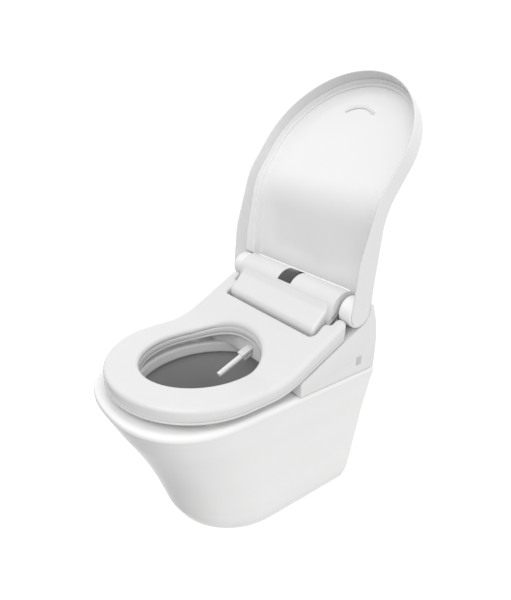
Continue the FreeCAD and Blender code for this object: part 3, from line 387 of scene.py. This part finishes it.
# ---------------------------------------------------------------- materials
def material(name, colour, rough, spread=0.02, grain=30.0, metal=0.0, coat=0.0, bump=0.0, rough_spread=0.04, spec=0.5):
    m = bpy.data.materials.new(name)
    m.use_nodes = True
    nt = m.node_tree
    bs = nt.nodes["Principled BSDF"]
    tc = nt.nodes.new("ShaderNodeTexCoord")
    nz = nt.nodes.new("ShaderNodeTexNoise")
    nz.inputs["Scale"].default_value = grain
    nz.inputs["Detail"].default_value = 4.0
    nt.links.new(tc.outputs["Object"], nz.inputs["Vector"])
    cr = nt.nodes.new("ShaderNodeValToRGB")
    lo = [max(0.0, c * (1 - spread)) for c in colour]
    hi = [min(1.0, c * (1 + spread)) for c in colour]
    cr.color_ramp.elements[0].position, cr.color_ramp.elements[1].position = 0.35, 0.65
    cr.color_ramp.elements[0].color = (*lo, 1)
    cr.color_ramp.elements[1].color = (*hi, 1)
    nt.links.new(nz.outputs["Fac"], cr.inputs["Fac"])
    nt.links.new(cr.outputs["Color"], bs.inputs["Base Color"])
    mr = nt.nodes.new("ShaderNodeMapRange")
    mr.inputs["To Min"].default_value = max(0.02, rough - rough_spread)
    mr.inputs["To Max"].default_value = rough + rough_spread
    nt.links.new(nz.outputs["Fac"], mr.inputs["Value"])
    nt.links.new(mr.outputs["Result"], bs.inputs["Roughness"])
    bs.inputs["Metallic"].default_value = metal
    bs.inputs["Coat Weight"].default_value = coat
    bs.inputs["Coat Roughness"].default_value = 0.05
    bs.inputs["Specular IOR Level"].default_value = spec
    if bump > 0:
        n2 = nt.nodes.new("ShaderNodeTexNoise")
        n2.inputs["Scale"].default_value = grain * 20
        nt.links.new(tc.outputs["Object"], n2.inputs["Vector"])
        bp = nt.nodes.new("ShaderNodeBump")
        bp.inputs["Strength"].default_value = bump
        bp.inputs["Distance"].default_value = 0.0004
        nt.links.new(n2.outputs["Fac"], bp.inputs["Height"])
        nt.links.new(bp.outputs["Normal"], bs.inputs["Normal"])
    return m


MAT = {
    "glazed_ceramic": material("glazed_ceramic", (0.865, 0.865, 0.86), 0.14, 0.008, 5.0, coat=0.35),
    # the inside of the bowl takes a dark grey copy of the white glaze: painted shade, the real bowl is white
    "bowl_painted_shade": material("bowl_painted_shade", (0.355, 0.355, 0.355), 0.16, 0.012, 6.0, coat=0.3),
    "white_plastic": material("white_plastic", (0.76, 0.76, 0.76), 0.24, 0.006, 12.0, coat=0.15),
    # a darker copy of the white plastic for the seat: painted shade
    "seat_painted_shade": material("seat_painted_shade", (0.715, 0.715, 0.715), 0.18, 0.006, 12.0, coat=0.25),
    # a brighter copy of the white plastic for the hinge barrels: painted light against the shade of the lid arm
    "knuckle_painted_light": material("knuckle_painted_light", (0.90, 0.90, 0.90), 0.24, 0.006, 12.0, coat=0.15),
    "lid_white": material("lid_white", (0.765, 0.765, 0.765), 0.17, 0.006, 9.0, coat=0.25),
    "nozzle_white": material("nozzle_white", (0.86, 0.86, 0.86), 0.26, 0.01, 40.0),
    "button_grey": material("button_grey", (0.52, 0.53, 0.54), 0.42, 0.03, 60.0, bump=0.1),
    "smoked_window": material("smoked_window", (0.034, 0.034, 0.036), 0.12, 0.2, 30.0, coat=0.3),
    "black_lens": material("black_lens", (0.004, 0.004, 0.005), 0.35, 0.2, 60.0, spec=0.08),
    "white_rubber": material("white_rubber", (0.80, 0.80, 0.79), 0.5, 0.02, 60.0, bump=0.15),
    # the white rubber brightened near to full white: partly the strip's own white, partly a painted highlight along the
    # wiper bead
    "wiper_rubber_painted_highlight": material("wiper_rubber_painted_highlight", (0.955, 0.955, 0.955), 0.5, 0.01, 60.0, bump=0.05),
    "base_white": material("base_white", (0.77, 0.77, 0.77), 0.26, 0.006, 12.0, coat=0.12),
    # a brighter copy of the lid white for the liner: painted light on the lid's inner panel
    "liner_painted_light": material("liner_painted_light", (0.88, 0.88, 0.88), 0.17, 0.005, 9.0, coat=0.25),
    "grey_rubber": material("grey_rubber", (0.075, 0.075, 0.08), 0.6, 0.1, 60.0, bump=0.25),
    "grey_plastic": material("grey_plastic", (0.36, 0.37, 0.38), 0.45, 0.03, 40.0, bump=0.15),
    "bearing_plastic": material("bearing_plastic", (0.68, 0.66, 0.58), 0.4, 0.03, 60.0, bump=0.1),
    "steel": material("steel", (0.42, 0.42, 0.43), 0.32, 0.06, 120.0, metal=1.0, rough_spread=0.08),
    "circuit_board": material("circuit_board", (0.01, 0.10, 0.04), 0.4, 0.15, 90.0),
    "brass": material("brass", (0.50, 0.33, 0.09), 0.28, 0.06, 80.0, metal=1.0),
    "heater_foil": material("heater_foil", (0.62, 0.62, 0.62), 0.35, 0.05, 60.0, metal=1.0),
}
SLOT_OF = {s["node"]: s["material_slot"] for s in frame["record"]["subparts"]}

# every CAD node gets its own finish
for n, o in NODES.items():
    o.data.materials.clear()
    o.data.materials.append(MAT[SLOT_OF[n]])

# ---------------------------------------------------------------- ceramic pan
def pan_ring(z, w, tip, length, full):
    yc = tip + length
    t = np.pi * np.arange(161) / 160
    ct, st = np.cos(t), np.abs(np.sin(t))
    nose_p = np.stack([-w * np.sign(ct) * np.abs(ct) ** (2 / full), yc - length * st ** (2 / full)], 1)
    c = 3.0
    side = np.linspace(0, 1, 41)[1:]
    right = np.stack([np.full(40, w), yc + (-c - yc) * side], 1)
    ang = np.radians(np.linspace(0, 90, 6)[1:])
    rc = np.stack([w - c + c * np.cos(ang), -c + c * np.sin(ang)], 1)
    back = np.stack([np.linspace(w - c, -(w - c), 62)[1:-1], np.zeros(60)], 1)
    lc = np.stack([-(w - c) - c * np.sin(np.radians(np.linspace(0, 90, 6)[:-1])), -c + c * np.cos(np.radians(np.linspace(0, 90, 6)[:-1]))], 1)
    left = np.stack([np.full(40, -w), -c + (yc + c) * np.linspace(0, 1, 41)[:-1]], 1)
    q = np.vstack([nose_p, right, rc, back, lc, left])
    return np.c_[q, np.full(len(q), z)]


pb = Build()
cs = np.r_[0, np.cumsum(np.hypot(np.diff(PAN[:, 0]), np.diff(PAN[:, 1])))]
ss = np.unique(np.r_[np.linspace(0, cs[3], 16), np.linspace(cs[3], cs[10], 60), np.linspace(cs[10], cs[-1], 22)])
prev = None
first = None
for s in ss:
    z, w, tip, ln, full = (float(pchip(cs, PAN[:, k], np.array([s]))[0]) for k in range(5))
    ring = pb.add(pan_ring(min(338.0, max(0.0, z)), w, tip, ln, full))
    if prev is not None:
        pb.strip(prev, ring)
    else:
        first = ring
    prev = ring
pb.cap(first, (0, -180, 0))
rim = np.array([pb.v[i] for i in prev])
BC = -304.0
ang = np.arctan2((rim[:, 1] - BC) / 153.0, rim[:, 0] / 121.0)


def bowl_ring(z, a, b, cy):
    return np.stack([a * np.cos(ang), cy + b * np.sin(ang), np.full(len(ang), z)], 1)


R = 7.0
lip = bowl_ring(338.0, 121.0 + R, 153.0 + R, BC)
for k in range(1, 8):
    f = k / 8
    ring = pb.add(rim * (1 - f) + lip * f)
    pb.strip(prev, ring)
    prev = ring
for k in range(0, 7):
    f = math.pi / 2 * k / 6
    ring = pb.add(bowl_ring(338.0 - R * (1 - math.cos(f)), 121.0 + R * (1 - math.sin(f)), 153.0 + R * (1 - math.sin(f)), BC))
    pb.strip(prev, ring)
    prev = ring
BOWL = [(326, 121, 153, BC), (318, 121, 153, BC), (313.5, 121.2, 153.2, BC), (312, 122.2, 154.2, BC), (311, 125, 157, BC),
        (308, 127, 159, BC), (302, 127, 159, BC), (294, 124.5, 156, -303.5), (284, 120.5, 151, -302.5), (270, 115.5, 145, -301.2),
        (250, 108.5, 136, -299), (225, 99, 123.5, -293), (200, 88.5, 109.5, -286), (175, 76.5, 95, -276), (150, 63.5, 78.5, -264),
        (130, 54, 65, -254), (112, 45, 51, -243), (95, 37, 41, -234), (84, 32, 35, -228), (79, 27, 30, -226), (77, 18, 20, -226)]
# rings below the rim band (tag 1) take the dark grey copy of the glaze: painted shade inside the bowl
for k, (z, a, b2, cy) in enumerate(BOWL):
    ring = pb.add(bowl_ring(z, a, b2, cy))
    pb.strip(prev, ring, tag=0 if k < 4 else 1)
    prev = ring
pb.cap(prev, (0, -226, 76.5), tag=1)
pan_me = mesh_of("ceramic_pan_glaze", pb)
tools = [("DIFFERENCE", block(-112, 112, -96, 6, 30, 208, 8.0)), ("UNION", tube((0, -104, 148), (0, 0, 148), 54.0, 72)),
         ("DIFFERENCE", tube((0, -84, 148), (0, 5, 148), 45.0, 72)), ("DIFFERENCE", tube((0, -60, 283), (0, 5, 283), 27.5, 64))]
for sx in (-1, 1):
    tools.append(("DIFFERENCE", tube((sx * 90, -30, STUD_Z), (sx * 90, 5, STUD_Z), 11.0, 40)))
pan_me = boolean(pan_me, tools, (MAT["glazed_ceramic"], MAT["bowl_painted_shade"]))
show("ceramic_pan_glaze", pan_me, "pan_unit", ["pan_rim", "pan_bowl", "pan_waste_way", "pan_skirt"], [MAT["glazed_ceramic"], MAT["bowl_painted_shade"]], 42)

# ---------------------------------------------------------------- seat
seat_out = trace([(-153, -100, 11.0), (-180.5, -100, 11.0)] + nose(180.5, -519.0, 180.0, 120) +
                 [(180.5, -100, 11.0), (153, -100, 11.0), (153, -119, 2.5), (137.5, -119, 10.5), (143.5, -156.5, 10.0),
                  (-143.5, -156.5, 10.0), (-137.5, -119, 10.5), (-153, -119, 2.5)], 4.0)
hp = []
for i in range(200):
    t = 2 * math.pi * i / 200
    c, s = math.cos(t), math.sin(t)
    e = 2.0 / 2.25 if s > 0 else 1.0
    hp.append((112 * math.copysign(abs(c) ** e, c), -318 + (115.0 if s > 0 else 133.5) * math.copysign(abs(s) ** e, s)))
seat_hole = np.array(hp)


def edge_round(r, n, zf):
    return [(r * (1 - math.sin(math.pi / 2 * k / n)), (lambda d: lambda x, y: zf(y) - d)(r * (1 - math.cos(math.pi / 2 * k / n))))
            for k in range(n + 1)]


po = edge_round(10.0, 9, seat_top) + [
    (0.0, lambda x, y: seat_low(y) * 0.5 + seat_top(y) * 0.5), (0.0, lambda x, y: seat_low(y) + 7.0),
    (0.35, lambda x, y: seat_low(y) + 6.5), (1.1, lambda x, y: seat_low(y) + 6.35), (3.5, lambda x, y: seat_low(y) + 6.35)]
ph = edge_round(8.0, 9, seat_top) + [
    (0.0, lambda x, y: seat_top(y) - 11.0), (0.5, lambda x, y: seat_top(y) - 11.6), (1.4, lambda x, y: seat_top(y) - 12.0),
    (1.4, lambda x, y: seat_top(y) - 13.2), (0.4, lambda x, y: seat_top(y) - 13.7), (0.0, lambda x, y: seat_top(y) - 14.4),
    (0.0, lambda x, y: seat_low(y) + 7.0), (0.35, lambda x, y: seat_low(y) + 6.5), (1.1, lambda x, y: seat_low(y) + 6.35),
    (3.5, lambda x, y: seat_low(y) + 6.35)]
b = plate(seat_out, [seat_hole], po, ph, lambda x, y: seat_top(y), lambda x, y: seat_low(y) + 6.35, 5.0)
# both seat shells take the darker copy of the white plastic: painted shade
show("seat_top_shell", mesh_of("seat_top_shell", b), "seat", ["seat_top"], [MAT["seat_painted_shade"]], 50)
pl = [(3.5, lambda x, y: seat_low(y) + 5.9), (1.1, lambda x, y: seat_low(y) + 5.9), (0.35, lambda x, y: seat_low(y) + 5.75),
      (0.0, lambda x, y: seat_low(y) + 5.3), (0.0, lambda x, y: seat_low(y) + 3.0)]
pl += [(3.0 * (1 - math.cos(math.pi / 2 * k / 5)), (lambda d: lambda x, y: seat_low(y) + d)(3.0 * (1 - math.sin(math.pi / 2 * k / 5)))) for k in range(1, 6)]
b = plate(seat_out, [seat_hole], pl, pl, lambda x, y: seat_low(y) + 5.9, lambda x, y: seat_low(y), 8.0)
show("seat_lower_shell", mesh_of("seat_lower_shell", b), "seat", ["seat_base"], [MAT["seat_painted_shade"]], 50)

# ---------------------------------------------------------------- lid liner
def panel(off):
    return line_fn([(-78.0, 520.0 + off), (-104.0, 512.0 + off * 1.05, 30.0), (-254.0, 397.5 + off * 0.98, 130.0), (-600.0, 397.5 + off)])


p_hi, p_lo = panel(-0.3), panel(-2.9)
LEDGE = line_fn([(-600.0, 380.5), (-258.0, 380.5, 120.0), (-141.0, 439.0, 100.0), (-60.0, 496.0)])
shelf = line_fn([(-600.0, 391.0), (-250.9, 391.0, 130.0), (-60.0, 512.6)])
LH = 183.75
REAR = -106.0
l_side = np.linspace(REAR, -519.95 + 176.75, 80)[:-1]
l_left = np.stack([np.full(len(l_side), -LH), l_side], 1)
loop = np.vstack([l_left, np.array(nose(LH, -519.95, 176.75, 160)), l_left[::-1] * np.array([-1.0, 1.0])])
l_t = np.gradient(loop, axis=0)
l_t[:len(l_side)] = (0.0, -1.0)
l_t[-len(l_side):] = (0.0, 1.0)
l_t /= np.linalg.norm(l_t, axis=1)[:, None]
loop_n = np.stack([-l_t[:, 1], l_t[:, 0]], 1)


def flank_z(g):
    """Inner wall of the lid: rises from the ledge and runs out into the panel."""
    return lambda y: (LEDGE(y) + 1.4) * (1 - g) + p_lo(y) * g


prof = [(13.0, p_hi), (10.6, lambda y: p_hi(y) - 0.6), (10.0, lambda y: p_hi(y) - 1.8),
        (9.4, lambda y: shelf(y) - 0.6), (1.0, lambda y: shelf(y) - 1.6), (0.2, lambda y: shelf(y) - 3.4)]
for ins, dz in ((0.0, 1.0), (0.2, 0.2), (0.7, 0.0), (1.4, 0.0), (1.9, 0.25), (2.15, 0.9)):
    prof.append((ins, (lambda d: lambda y: LEDGE(y) + d)(dz)))
run_out = 8.0 + 0.16 * np.maximum(0.0, p_lo(loop[:, 1]) - LEDGE(loop[:, 1]))
for k in range(1, 19):
    prof.append((2.3 + run_out * k / 18, flank_z(1 - (1 - k / 18) ** 3.2)))
b = Build()
rings = []
for ins, zf in prof:
    q = loop + loop_n * np.broadcast_to(ins, len(loop))[:, None]
    rings.append(b.add(np.c_[q, zf(q[:, 1])]))
for r0, r1 in zip(rings, rings[1:]):
    b.strip(r0, r1, closed=False)


def across(a, c, zf):
    x0, x1, y = b.v[a][0], b.v[c][0], b.v[a][1]
    return b.add([(x0 + (x1 - x0) * k / 90, y, float(zf(y))) for k in range(1, 90)])


rear_t, rear_b = across(rings[0][-1], rings[0][0], p_hi), across(rings[-1][-1], rings[-1][0], p_lo)
b.strip([rings[0][-1]] + rear_t + [rings[0][0]], [rings[-1][-1]] + rear_b + [rings[-1][0]], closed=False)
for e in (0, -1):
    b.face([r[e] for r in rings])
b.fill([rings[0] + rear_t], lambda x, y: (x, y, float(p_hi(y))), lambda v: v[:2], 5.0)
b.fill([rings[-1] + rear_b], lambda x, y: (x, y, float(p_lo(y))), lambda v: v[:2], 5.0)
# the liner takes the brighter copy of the lid white: painted light
show("lid_liner_panel", mesh_of("lid_liner_panel", b, open_lid), "lid", ["lid_liner"], [MAT["liner_painted_light"]], 40)

# ---------------------------------------------------------------- lid shell
def arm_fn(pts, a0, a1):
    """Height over y: a rounded line that ends in an arc round the hinge."""
    t = np.radians(np.linspace(a0, a1, 60))
    end = np.stack([HINGE[0] + 26.5 * np.cos(t), HINGE[1] + 26.5 * np.sin(t)], 1)
    q = np.vstack([trace(pts + [tuple(end[0])], 2.0, False, 1.5), end[1:]])
    q = q[np.argsort(q[:, 0])]
    return lambda y: np.interp(y, q[:, 0], q[:, 1])


lid_top = arm_fn([(-600.0, 395.5), (-251.7, 395.5, 130.0)], 122.4, 0.0)
lid_lip = arm_fn([(-600.0, 357.0), (-262.0, 357.0, 120.0), (-141.0, 403.0, 100.0)], -57.4, 0.0)
p_up, p_in = panel(4.0), panel(0.0)
FLANGE = -104.0
ta = np.radians(np.linspace(3.0, 90.0, 24))
arm_y = np.r_[HINGE[0] + 26.5 * np.cos(ta), np.linspace(HINGE[0] - 2.0, FLANGE, 14)]
side_y = np.linspace(FLANGE, -523.2 + 180.0, 80)
nose_q = np.array(nose(187.0, -523.2, 180.0, 160))
left = np.r_[np.stack([np.full(len(arm_y), -187.0), arm_y], 1), np.stack([np.full(len(side_y) - 1, -187.0), side_y[:-1]], 1)]
path = np.vstack([left, nose_q, left[::-1] * np.array([-1.0, 1.0])])
tang = np.gradient(np.vstack([path[:1] + [0, 1.0], path, path[-1:] + [0, 1.0]]), axis=0)[1:-1]
tang[:len(left) - 2] = (0.0, -1.0)
tang[-(len(left) - 2):] = (0.0, 1.0)
tang /= np.linalg.norm(tang, axis=1)[:, None]
path_n = np.stack([-tang[:, 1], tang[:, 0]], 1)
wall_only = np.zeros(len(path), bool)
wall_only[:len(arm_y)] = True
wall_only[-len(arm_y):] = True
sec = [(24.0, lambda y: p_up(y)), (18.0, lambda y: p_up(y) - 0.5), (13.5, lambda y: p_up(y) * 0.72 + lid_top(y) * 0.28),
       (10.0, lambda y: p_up(y) * 0.38 + lid_top(y) * 0.62), (7.3, lambda y: p_up(y) * 0.12 + lid_top(y) * 0.88)]
for k in range(0, 9):
    f = math.pi / 2 * k / 8
    sec.append((5.0 - 5.0 * math.sin(f), (lambda d: lambda y: np.maximum(lid_top(y) - d, (lid_top(y) + lid_lip(y)) / 2 + 0.04))(5.0 * (1 - math.cos(f)))))


def wall_part(g):
    """Height on the outer wall between its two roundings."""
    return lambda y: (np.minimum(lid_lip(y) + 1.6, (lid_top(y) + lid_lip(y)) / 2 - 0.04) * (1 - g)
                      + np.maximum(lid_top(y) - 5.0, (lid_top(y) + lid_lip(y)) / 2 + 0.04) * g)


for f in (0.75, 0.5, 0.25):
    sec.append((0.0, wall_part(f)))
for k in range(0, 9):
    f = math.pi * k / 8
    sec.append((1.6 - 1.6 * math.cos(f), (lambda d: lambda y: np.minimum(lid_lip(y) + d, (lid_top(y) + lid_lip(y)) / 2 - 0.04))(1.6 - 1.6 * math.sin(f))))
sec += [(3.2, lambda y: (lid_lip(y) + lid_top(y)) / 2), (3.2, lambda y: np.maximum(lid_top(y) - 5.0, (lid_top(y) + lid_lip(y)) / 2 + 0.04)), (3.6, lambda y: np.maximum(lid_top(y) - 4.2, (lid_top(y) + lid_lip(y)) / 2 + 0.08)),
        (12.4, lambda y: lid_top(y) - 3.9), (13.4, lambda y: p_in(y) - 1.0), (14.8, lambda y: p_in(y)), (24.0, lambda y: p_in(y))]
b = Build()
cols = []
for ins, zf in sec:
    wi = np.where(wall_only, np.minimum(ins, 3.2), ins)
    q = path + path_n * wi[:, None]
    z = zf(path[:, 1] if ins <= 5.0 else q[:, 1])
    keep = wall_only & (ins > 3.2)
    mid = (lid_top(path[:, 1]) + lid_lip(path[:, 1])) / 2
    z = np.where(keep, np.maximum(lid_top(path[:, 1]) - 0.335, mid), z)
    if ins == 3.2 or ins == 3.6:
        z = np.where(wall_only, np.maximum(np.minimum(z, lid_top(path[:, 1]) - 0.335), lid_lip(path[:, 1]) if ins == 0 else np.minimum(z, mid)), z)
    cols.append(b.add(np.c_[q, z]))
for c0, c1 in zip(cols, cols[1:]):
    b.strip(c0, c1, closed=False)
n_arm = len(arm_y)
first_c, last_c = cols[0][n_arm:-n_arm], cols[-1][n_arm:-n_arm]
rear_xy = trace([(tuple(b.v[first_c[-1]][:2])), (153.8, FLANGE), (153.8, -80.0, 4.0), (-153.8, -80.0, 4.0), (-153.8, FLANGE),
                 tuple(b.v[first_c[0]][:2])], 4.0, False)[1:-1]
rear_t = b.add([(x, y, float(p_up(y))) for x, y in rear_xy])
rear_b = b.add([(x, y, float(p_in(y))) for x, y in rear_xy])
b.strip([first_c[-1]] + rear_t + [first_c[0]], [last_c[-1]] + rear_b + [last_c[0]], closed=False)
for a in (n_arm, len(path) - n_arm - 1):
    arm = a - 1 if a == n_arm else a + 1
    b.f.append((cols[0][a], cols[-1][a], cols[0][arm]))
    b.tag.append(0)
b.fill([first_c + rear_t], lambda x, y: (x, y, float(p_up(y))), lambda v: v[:2], 6.0)
b.fill([last_c + rear_b], lambda x, y: (x, y, float(p_in(y))), lambda v: v[:2], 6.0)
for e in (0, -1):
    ends = [c[e] for c in cols]
    b.cap(ends, np.mean([b.v[i] for i in ends], axis=0))
show("lid_shell", mesh_of("lid_shell", b, open_lid), "lid", ["lid_cover"], [MAT["lid_white"]], 40)

# ---------------------------------------------------------------- control housing and window
def arc(cy, cz, r, a0, a1, n):
    t = np.radians(np.linspace(a0, a1, n + 1))
    return [(cy + r * math.cos(q), cz + r * math.sin(q)) for q in t]


a_pts = arc(-76, 475, 38, -38, 180.0, 110)
house_line = trace([(a_pts[0][0], 404.5)] + a_pts + [(-112.5, 404.5)], 4.0, True, 4.0)
apron = trace([(-84.0, 405.0), (-142.1, 405.0), (-147.5, 428.0, 12.0), (-151.0, 443.0, 18.0), (-118.5, 477.5, 30.0), (-110.4, 491.0), (-84.0, 491.0)], 4.0, True, 3.0)
band = arc(-76, 475, 46, 66.9, 146.6, 40) + arc(-76, 475, 36.2, 146.6, 66.9, 40)
hb = prism(house_line, -146.5, 146.5, 1.2, 6, 40)
house_me = boolean(mesh_of("control_housing_shell", hb), [("UNION", prism(apron, -135.5, 135.5, 6.0, 10, 36))], solver="FAST")
# the housing is hollow and open below, where the wand slides back into it
c_pts = arc(-76, 475, 34.6, -38, 180.0, 60)
cave_b = np.array([(c_pts[0][0], 396.0)] + c_pts + [(c_pts[-1][0], 396.0)])
cave_a = trace([(-84.0, 397.0), (-138.9, 397.0), (-144.4, 428.5, 10.0), (-147.2, 442.2, 14.0), (-114.5, 475.0), (-84.0, 475.0)], 4.0, True, 3.0)
house_me = boolean(house_me, [("DIFFERENCE", prism(cave_b, -143.4, 143.4, 0.01, 1)), ("DIFFERENCE", prism(cave_a, -132.0, 132.0, 0.01, 1)),
                              ("DIFFERENCE", prism(np.array(band), -19.35, 21.35, 0.01, 1))])
show("control_housing_shell", house_me, "pan_unit", ["control_housing"], [MAT["white_plastic"]], 38)
pane = trace([(p[0], p[1]) for p in arc(-76, 475, 37.9, 67.5, 146.0, 40) + arc(-76, 475, 36.4, 146.0, 67.5, 40)], 3.0)
show("window_pane", mesh_of("window_pane", prism(pane, -19.0, 21.0, 0.35, 3)), "pan_unit", ["sensor_window"], [MAT["smoked_window"]], 38)

lens = trace([(p[0], p[1]) for p in arc(-76, 475, 38.0, 71.0, 91.0, 16) + arc(-76, 475, 37.3, 91.0, 71.0, 16)], 2.0)
show("receiver_lens", mesh_of("receiver_lens", prism(lens, 8.0, 20.0, 0.2, 2)), "pan_unit", ["ir_receiver"], [MAT["black_lens"]], 38)

t = 2 * np.pi * np.arange(32) / 32
bead = np.stack([-76 + 38 * math.cos(math.radians(61.5)) + 2.2 * np.cos(t), 475 + 38 * math.sin(math.radians(61.5)) + 2.2 * np.sin(t)], 1)
# the bead takes the brightened rubber: partly its own white, partly a painted highlight
show("wiper_bead", mesh_of("wiper_bead", prism(bead, -141.0, 141.0, 1.4, 4, 24)), "pan_unit", ["wiper_strip"], [MAT["wiper_rubber_painted_highlight"]], 38)

# ---------------------------------------------------------------- CAD pieces with rounded edges
def soften(node, name, width, mat, limit=32.0, flat=0.6, sharp=40.0):
    """The node's own shape, with its sharp edges rounded."""
    src = NODES[node]
    bm = bmesh.new()
    bm.from_mesh(src.data)
    bmesh.ops.remove_doubles(bm, verts=bm.verts, dist=4e-6)
    bmesh.ops.dissolve_limit(bm, angle_limit=math.radians(flat), verts=bm.verts, edges=bm.edges, delimit=set())
    edges = [e for e in bm.edges if len(e.link_faces) == 2 and e.calc_face_angle(0.0) > math.radians(limit)]
    bmesh.ops.bevel(bm, geom=edges, offset=width * 0.001, offset_type="OFFSET", segments=3, profile=0.5, affect="EDGES", clamp_overlap=True)
    bmesh.ops.remove_doubles(bm, verts=bm.verts, dist=2e-6)
    me = bpy.data.meshes.new(name)
    bm.to_mesh(me)
    bm.free()
    body = next(k for k, v in frame["record"]["behaviour"]["bodies"].items() if node in v)
    return show(name, me, body, [node], [mat], sharp)


soften("base_cover", "base_shell", 2.0, MAT["base_white"])

# ---------------------------------------------------------------- knuckles of the lid
for sx, side_name in ((-1, "left"), (1, "right")):
    t = 2 * np.pi * np.arange(96) / 96
    round_k = np.stack([HINGE[0] + 29.5 * np.cos(t), HINGE[1] + 29.5 * np.sin(t)], 1)
    x0, x1 = sorted((sx * 154.2, sx * 183.75))
    bore = tube((sx * 150, HINGE[0], HINGE[1]), (sx * 178, HINGE[0], HINGE[1]), 10.0, 48)
    barrel = boolean(mesh_of("barrel", prism(round_k, x0, x1, 3.0, 6, 6)), [("DIFFERENCE", bore)])
    # the barrels take the brighter copy of the white plastic: painted light
    show("hinge_barrel_" + side_name, barrel, "lid", ["lid_knuckle_" + side_name], [MAT["knuckle_painted_light"]], 38)

# ---------------------------------------------------------------- spring behind the side button
sb = Build()
coils = []
for t in np.linspace(0.0, 2 * math.pi * 3.45, 111):
    c = np.array([163.5 + 2.0 * t / (2 * math.pi), -56.5 + 4.0 * math.sin(t), 368.0 - 4.0 * math.cos(t)])
    out = np.array([0.0, math.sin(t), -math.cos(t)])
    along = unit(np.array([2.0 / (2 * math.pi), 4.0 * math.cos(t), 4.0 * math.sin(t)]))
    side = np.cross(along, out)
    coils.append(sb.add([c + 0.45 * (math.cos(q) * out + math.sin(q) * side) for q in 2 * math.pi * np.arange(10) / 10]))
for c0, c1 in zip(coils, coils[1:]):
    sb.strip(c0, c1)
for c in (coils[0], coils[-1]):
    sb.cap(c, np.mean([sb.v[i] for i in c], axis=0))
spring = show("button_coil", mesh_of("button_coil", sb), "pan_unit", ["button_spring"], [MAT["steel"]], 50)
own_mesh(spring)

# ---------------------------------------------------------------- stage, light, camera
fb = Build()
ring = fb.add([(12000 * math.cos(t), 12000 * math.sin(t), -420.0) for t in np.linspace(0, 2 * math.pi, 65)[:-1]])
fb.cap(ring, (0, 0, -420.0))
floor_me = mesh_of("floor", fb)
floor = bpy.data.objects.new("floor", floor_me)
scene.collection.objects.link(floor)
floor_me.materials.append(material("floor_pale", (0.96, 0.96, 0.96), 0.8, 0.004, 2.0, spec=0.1))
# the white ground does not throw its own light up at the object
floor.visible_diffuse = False
floor.visible_glossy = False

# plain white surround behind the object, seen by the camera only
sw = Build()
rows = [sw.add([(11800 * math.cos(e) * math.cos(t), 11800 * math.cos(e) * math.sin(t), -421.0 + 11800 * math.sin(e))
                for t in np.linspace(0, 2 * math.pi, 65)[:-1]]) for e in np.linspace(0.0, 1.5, 13)]
for c0, c1 in zip(rows, rows[1:]):
    sw.strip(c0, c1)
sw.cap(rows[-1], (0, 0, -421.0 + 11800))
surround = bpy.data.objects.new("surround", mesh_of("surround", sw))
scene.collection.objects.link(surround)
sm = bpy.data.materials.new("surround_white")
sm.use_nodes = True
sm.node_tree.nodes["Principled BSDF"].inputs["Base Color"].default_value = (0, 0, 0, 1)
sm.node_tree.nodes["Principled BSDF"].inputs["Emission Color"].default_value = (1, 1, 1, 1)
sm.node_tree.nodes["Principled BSDF"].inputs["Emission Strength"].default_value = 1.1
surround.data.materials.append(sm)
surround.visible_diffuse = surround.visible_glossy = surround.visible_transmission = surround.visible_volume_scatter = surround.visible_shadow = False

world = bpy.data.worlds.new("studio")
scene.world = world
world.use_nodes = True
wt = world.node_tree
bg = wt.nodes["Background"]
bg.inputs["Color"].default_value = (1, 1, 1, 1)
w_co = wt.nodes.new("ShaderNodeTexCoord")


def band_of(axis, from_lo, from_hi, to_lo, to_hi):
    d = wt.nodes.new("ShaderNodeVectorMath")
    d.operation = "DOT_PRODUCT"
    d.inputs[1].default_value = axis
    m = wt.nodes.new("ShaderNodeMapRange")
    m.interpolation_type = "SMOOTHSTEP"
    m.inputs["From Min"].default_value, m.inputs["From Max"].default_value = from_lo, from_hi
    m.inputs["To Min"].default_value, m.inputs["To Max"].default_value = to_lo, to_hi
    wt.links.new(w_co.outputs["Generated"], d.inputs[0])
    wt.links.new(d.outputs["Value"], m.inputs["Value"])
    return m.outputs["Result"]


w_mul = wt.nodes.new("ShaderNodeMath")
w_mul.operation = "MULTIPLY"
wt.links.new(band_of((0.0, 0.0, 1.0), -0.45, -0.02, 0.86, 1.06), w_mul.inputs[0])
wt.links.new(band_of((0.40, 0.78, 0.48), -0.90, -0.42, 0.22, 1.0), w_mul.inputs[1])
wt.links.new(w_mul.outputs["Value"], bg.inputs["Strength"])


def sun(name, towards, strength, spread):
    l = bpy.data.lights.new(name, "SUN")
    l.energy = strength
    l.angle = math.radians(spread)
    o = bpy.data.objects.new(name, l)
    scene.collection.objects.link(o)
    o.rotation_mode = "QUATERNION"
    o.rotation_quaternion = (-Vector(towards)).to_track_quat("-Z", "Y")
    return o


sun("key", (0.26, -0.58, 0.77), 0.62, 50.0)

cam_d = bpy.data.cameras.new("camera")
cam = bpy.data.objects.new("camera", cam_d)
scene.collection.objects.link(cam)
scene.camera = cam
cam_d.lens = 31.06
cam_d.sensor_width = 36.0
cam_d.sensor_fit = "AUTO"
cam_d.shift_x = 0.0675
cam_d.clip_start = 0.05
cam_d.clip_end = 60.0
cam.location = (0.7674, -0.8250, 0.6534)
cam.rotation_mode = "QUATERNION"
cam.rotation_quaternion = (-Vector((0.7518, -0.5264, 0.3971))).to_track_quat("-Z", "Y")

scene.view_settings.view_transform = "Standard"
scene.view_settings.look = "None"
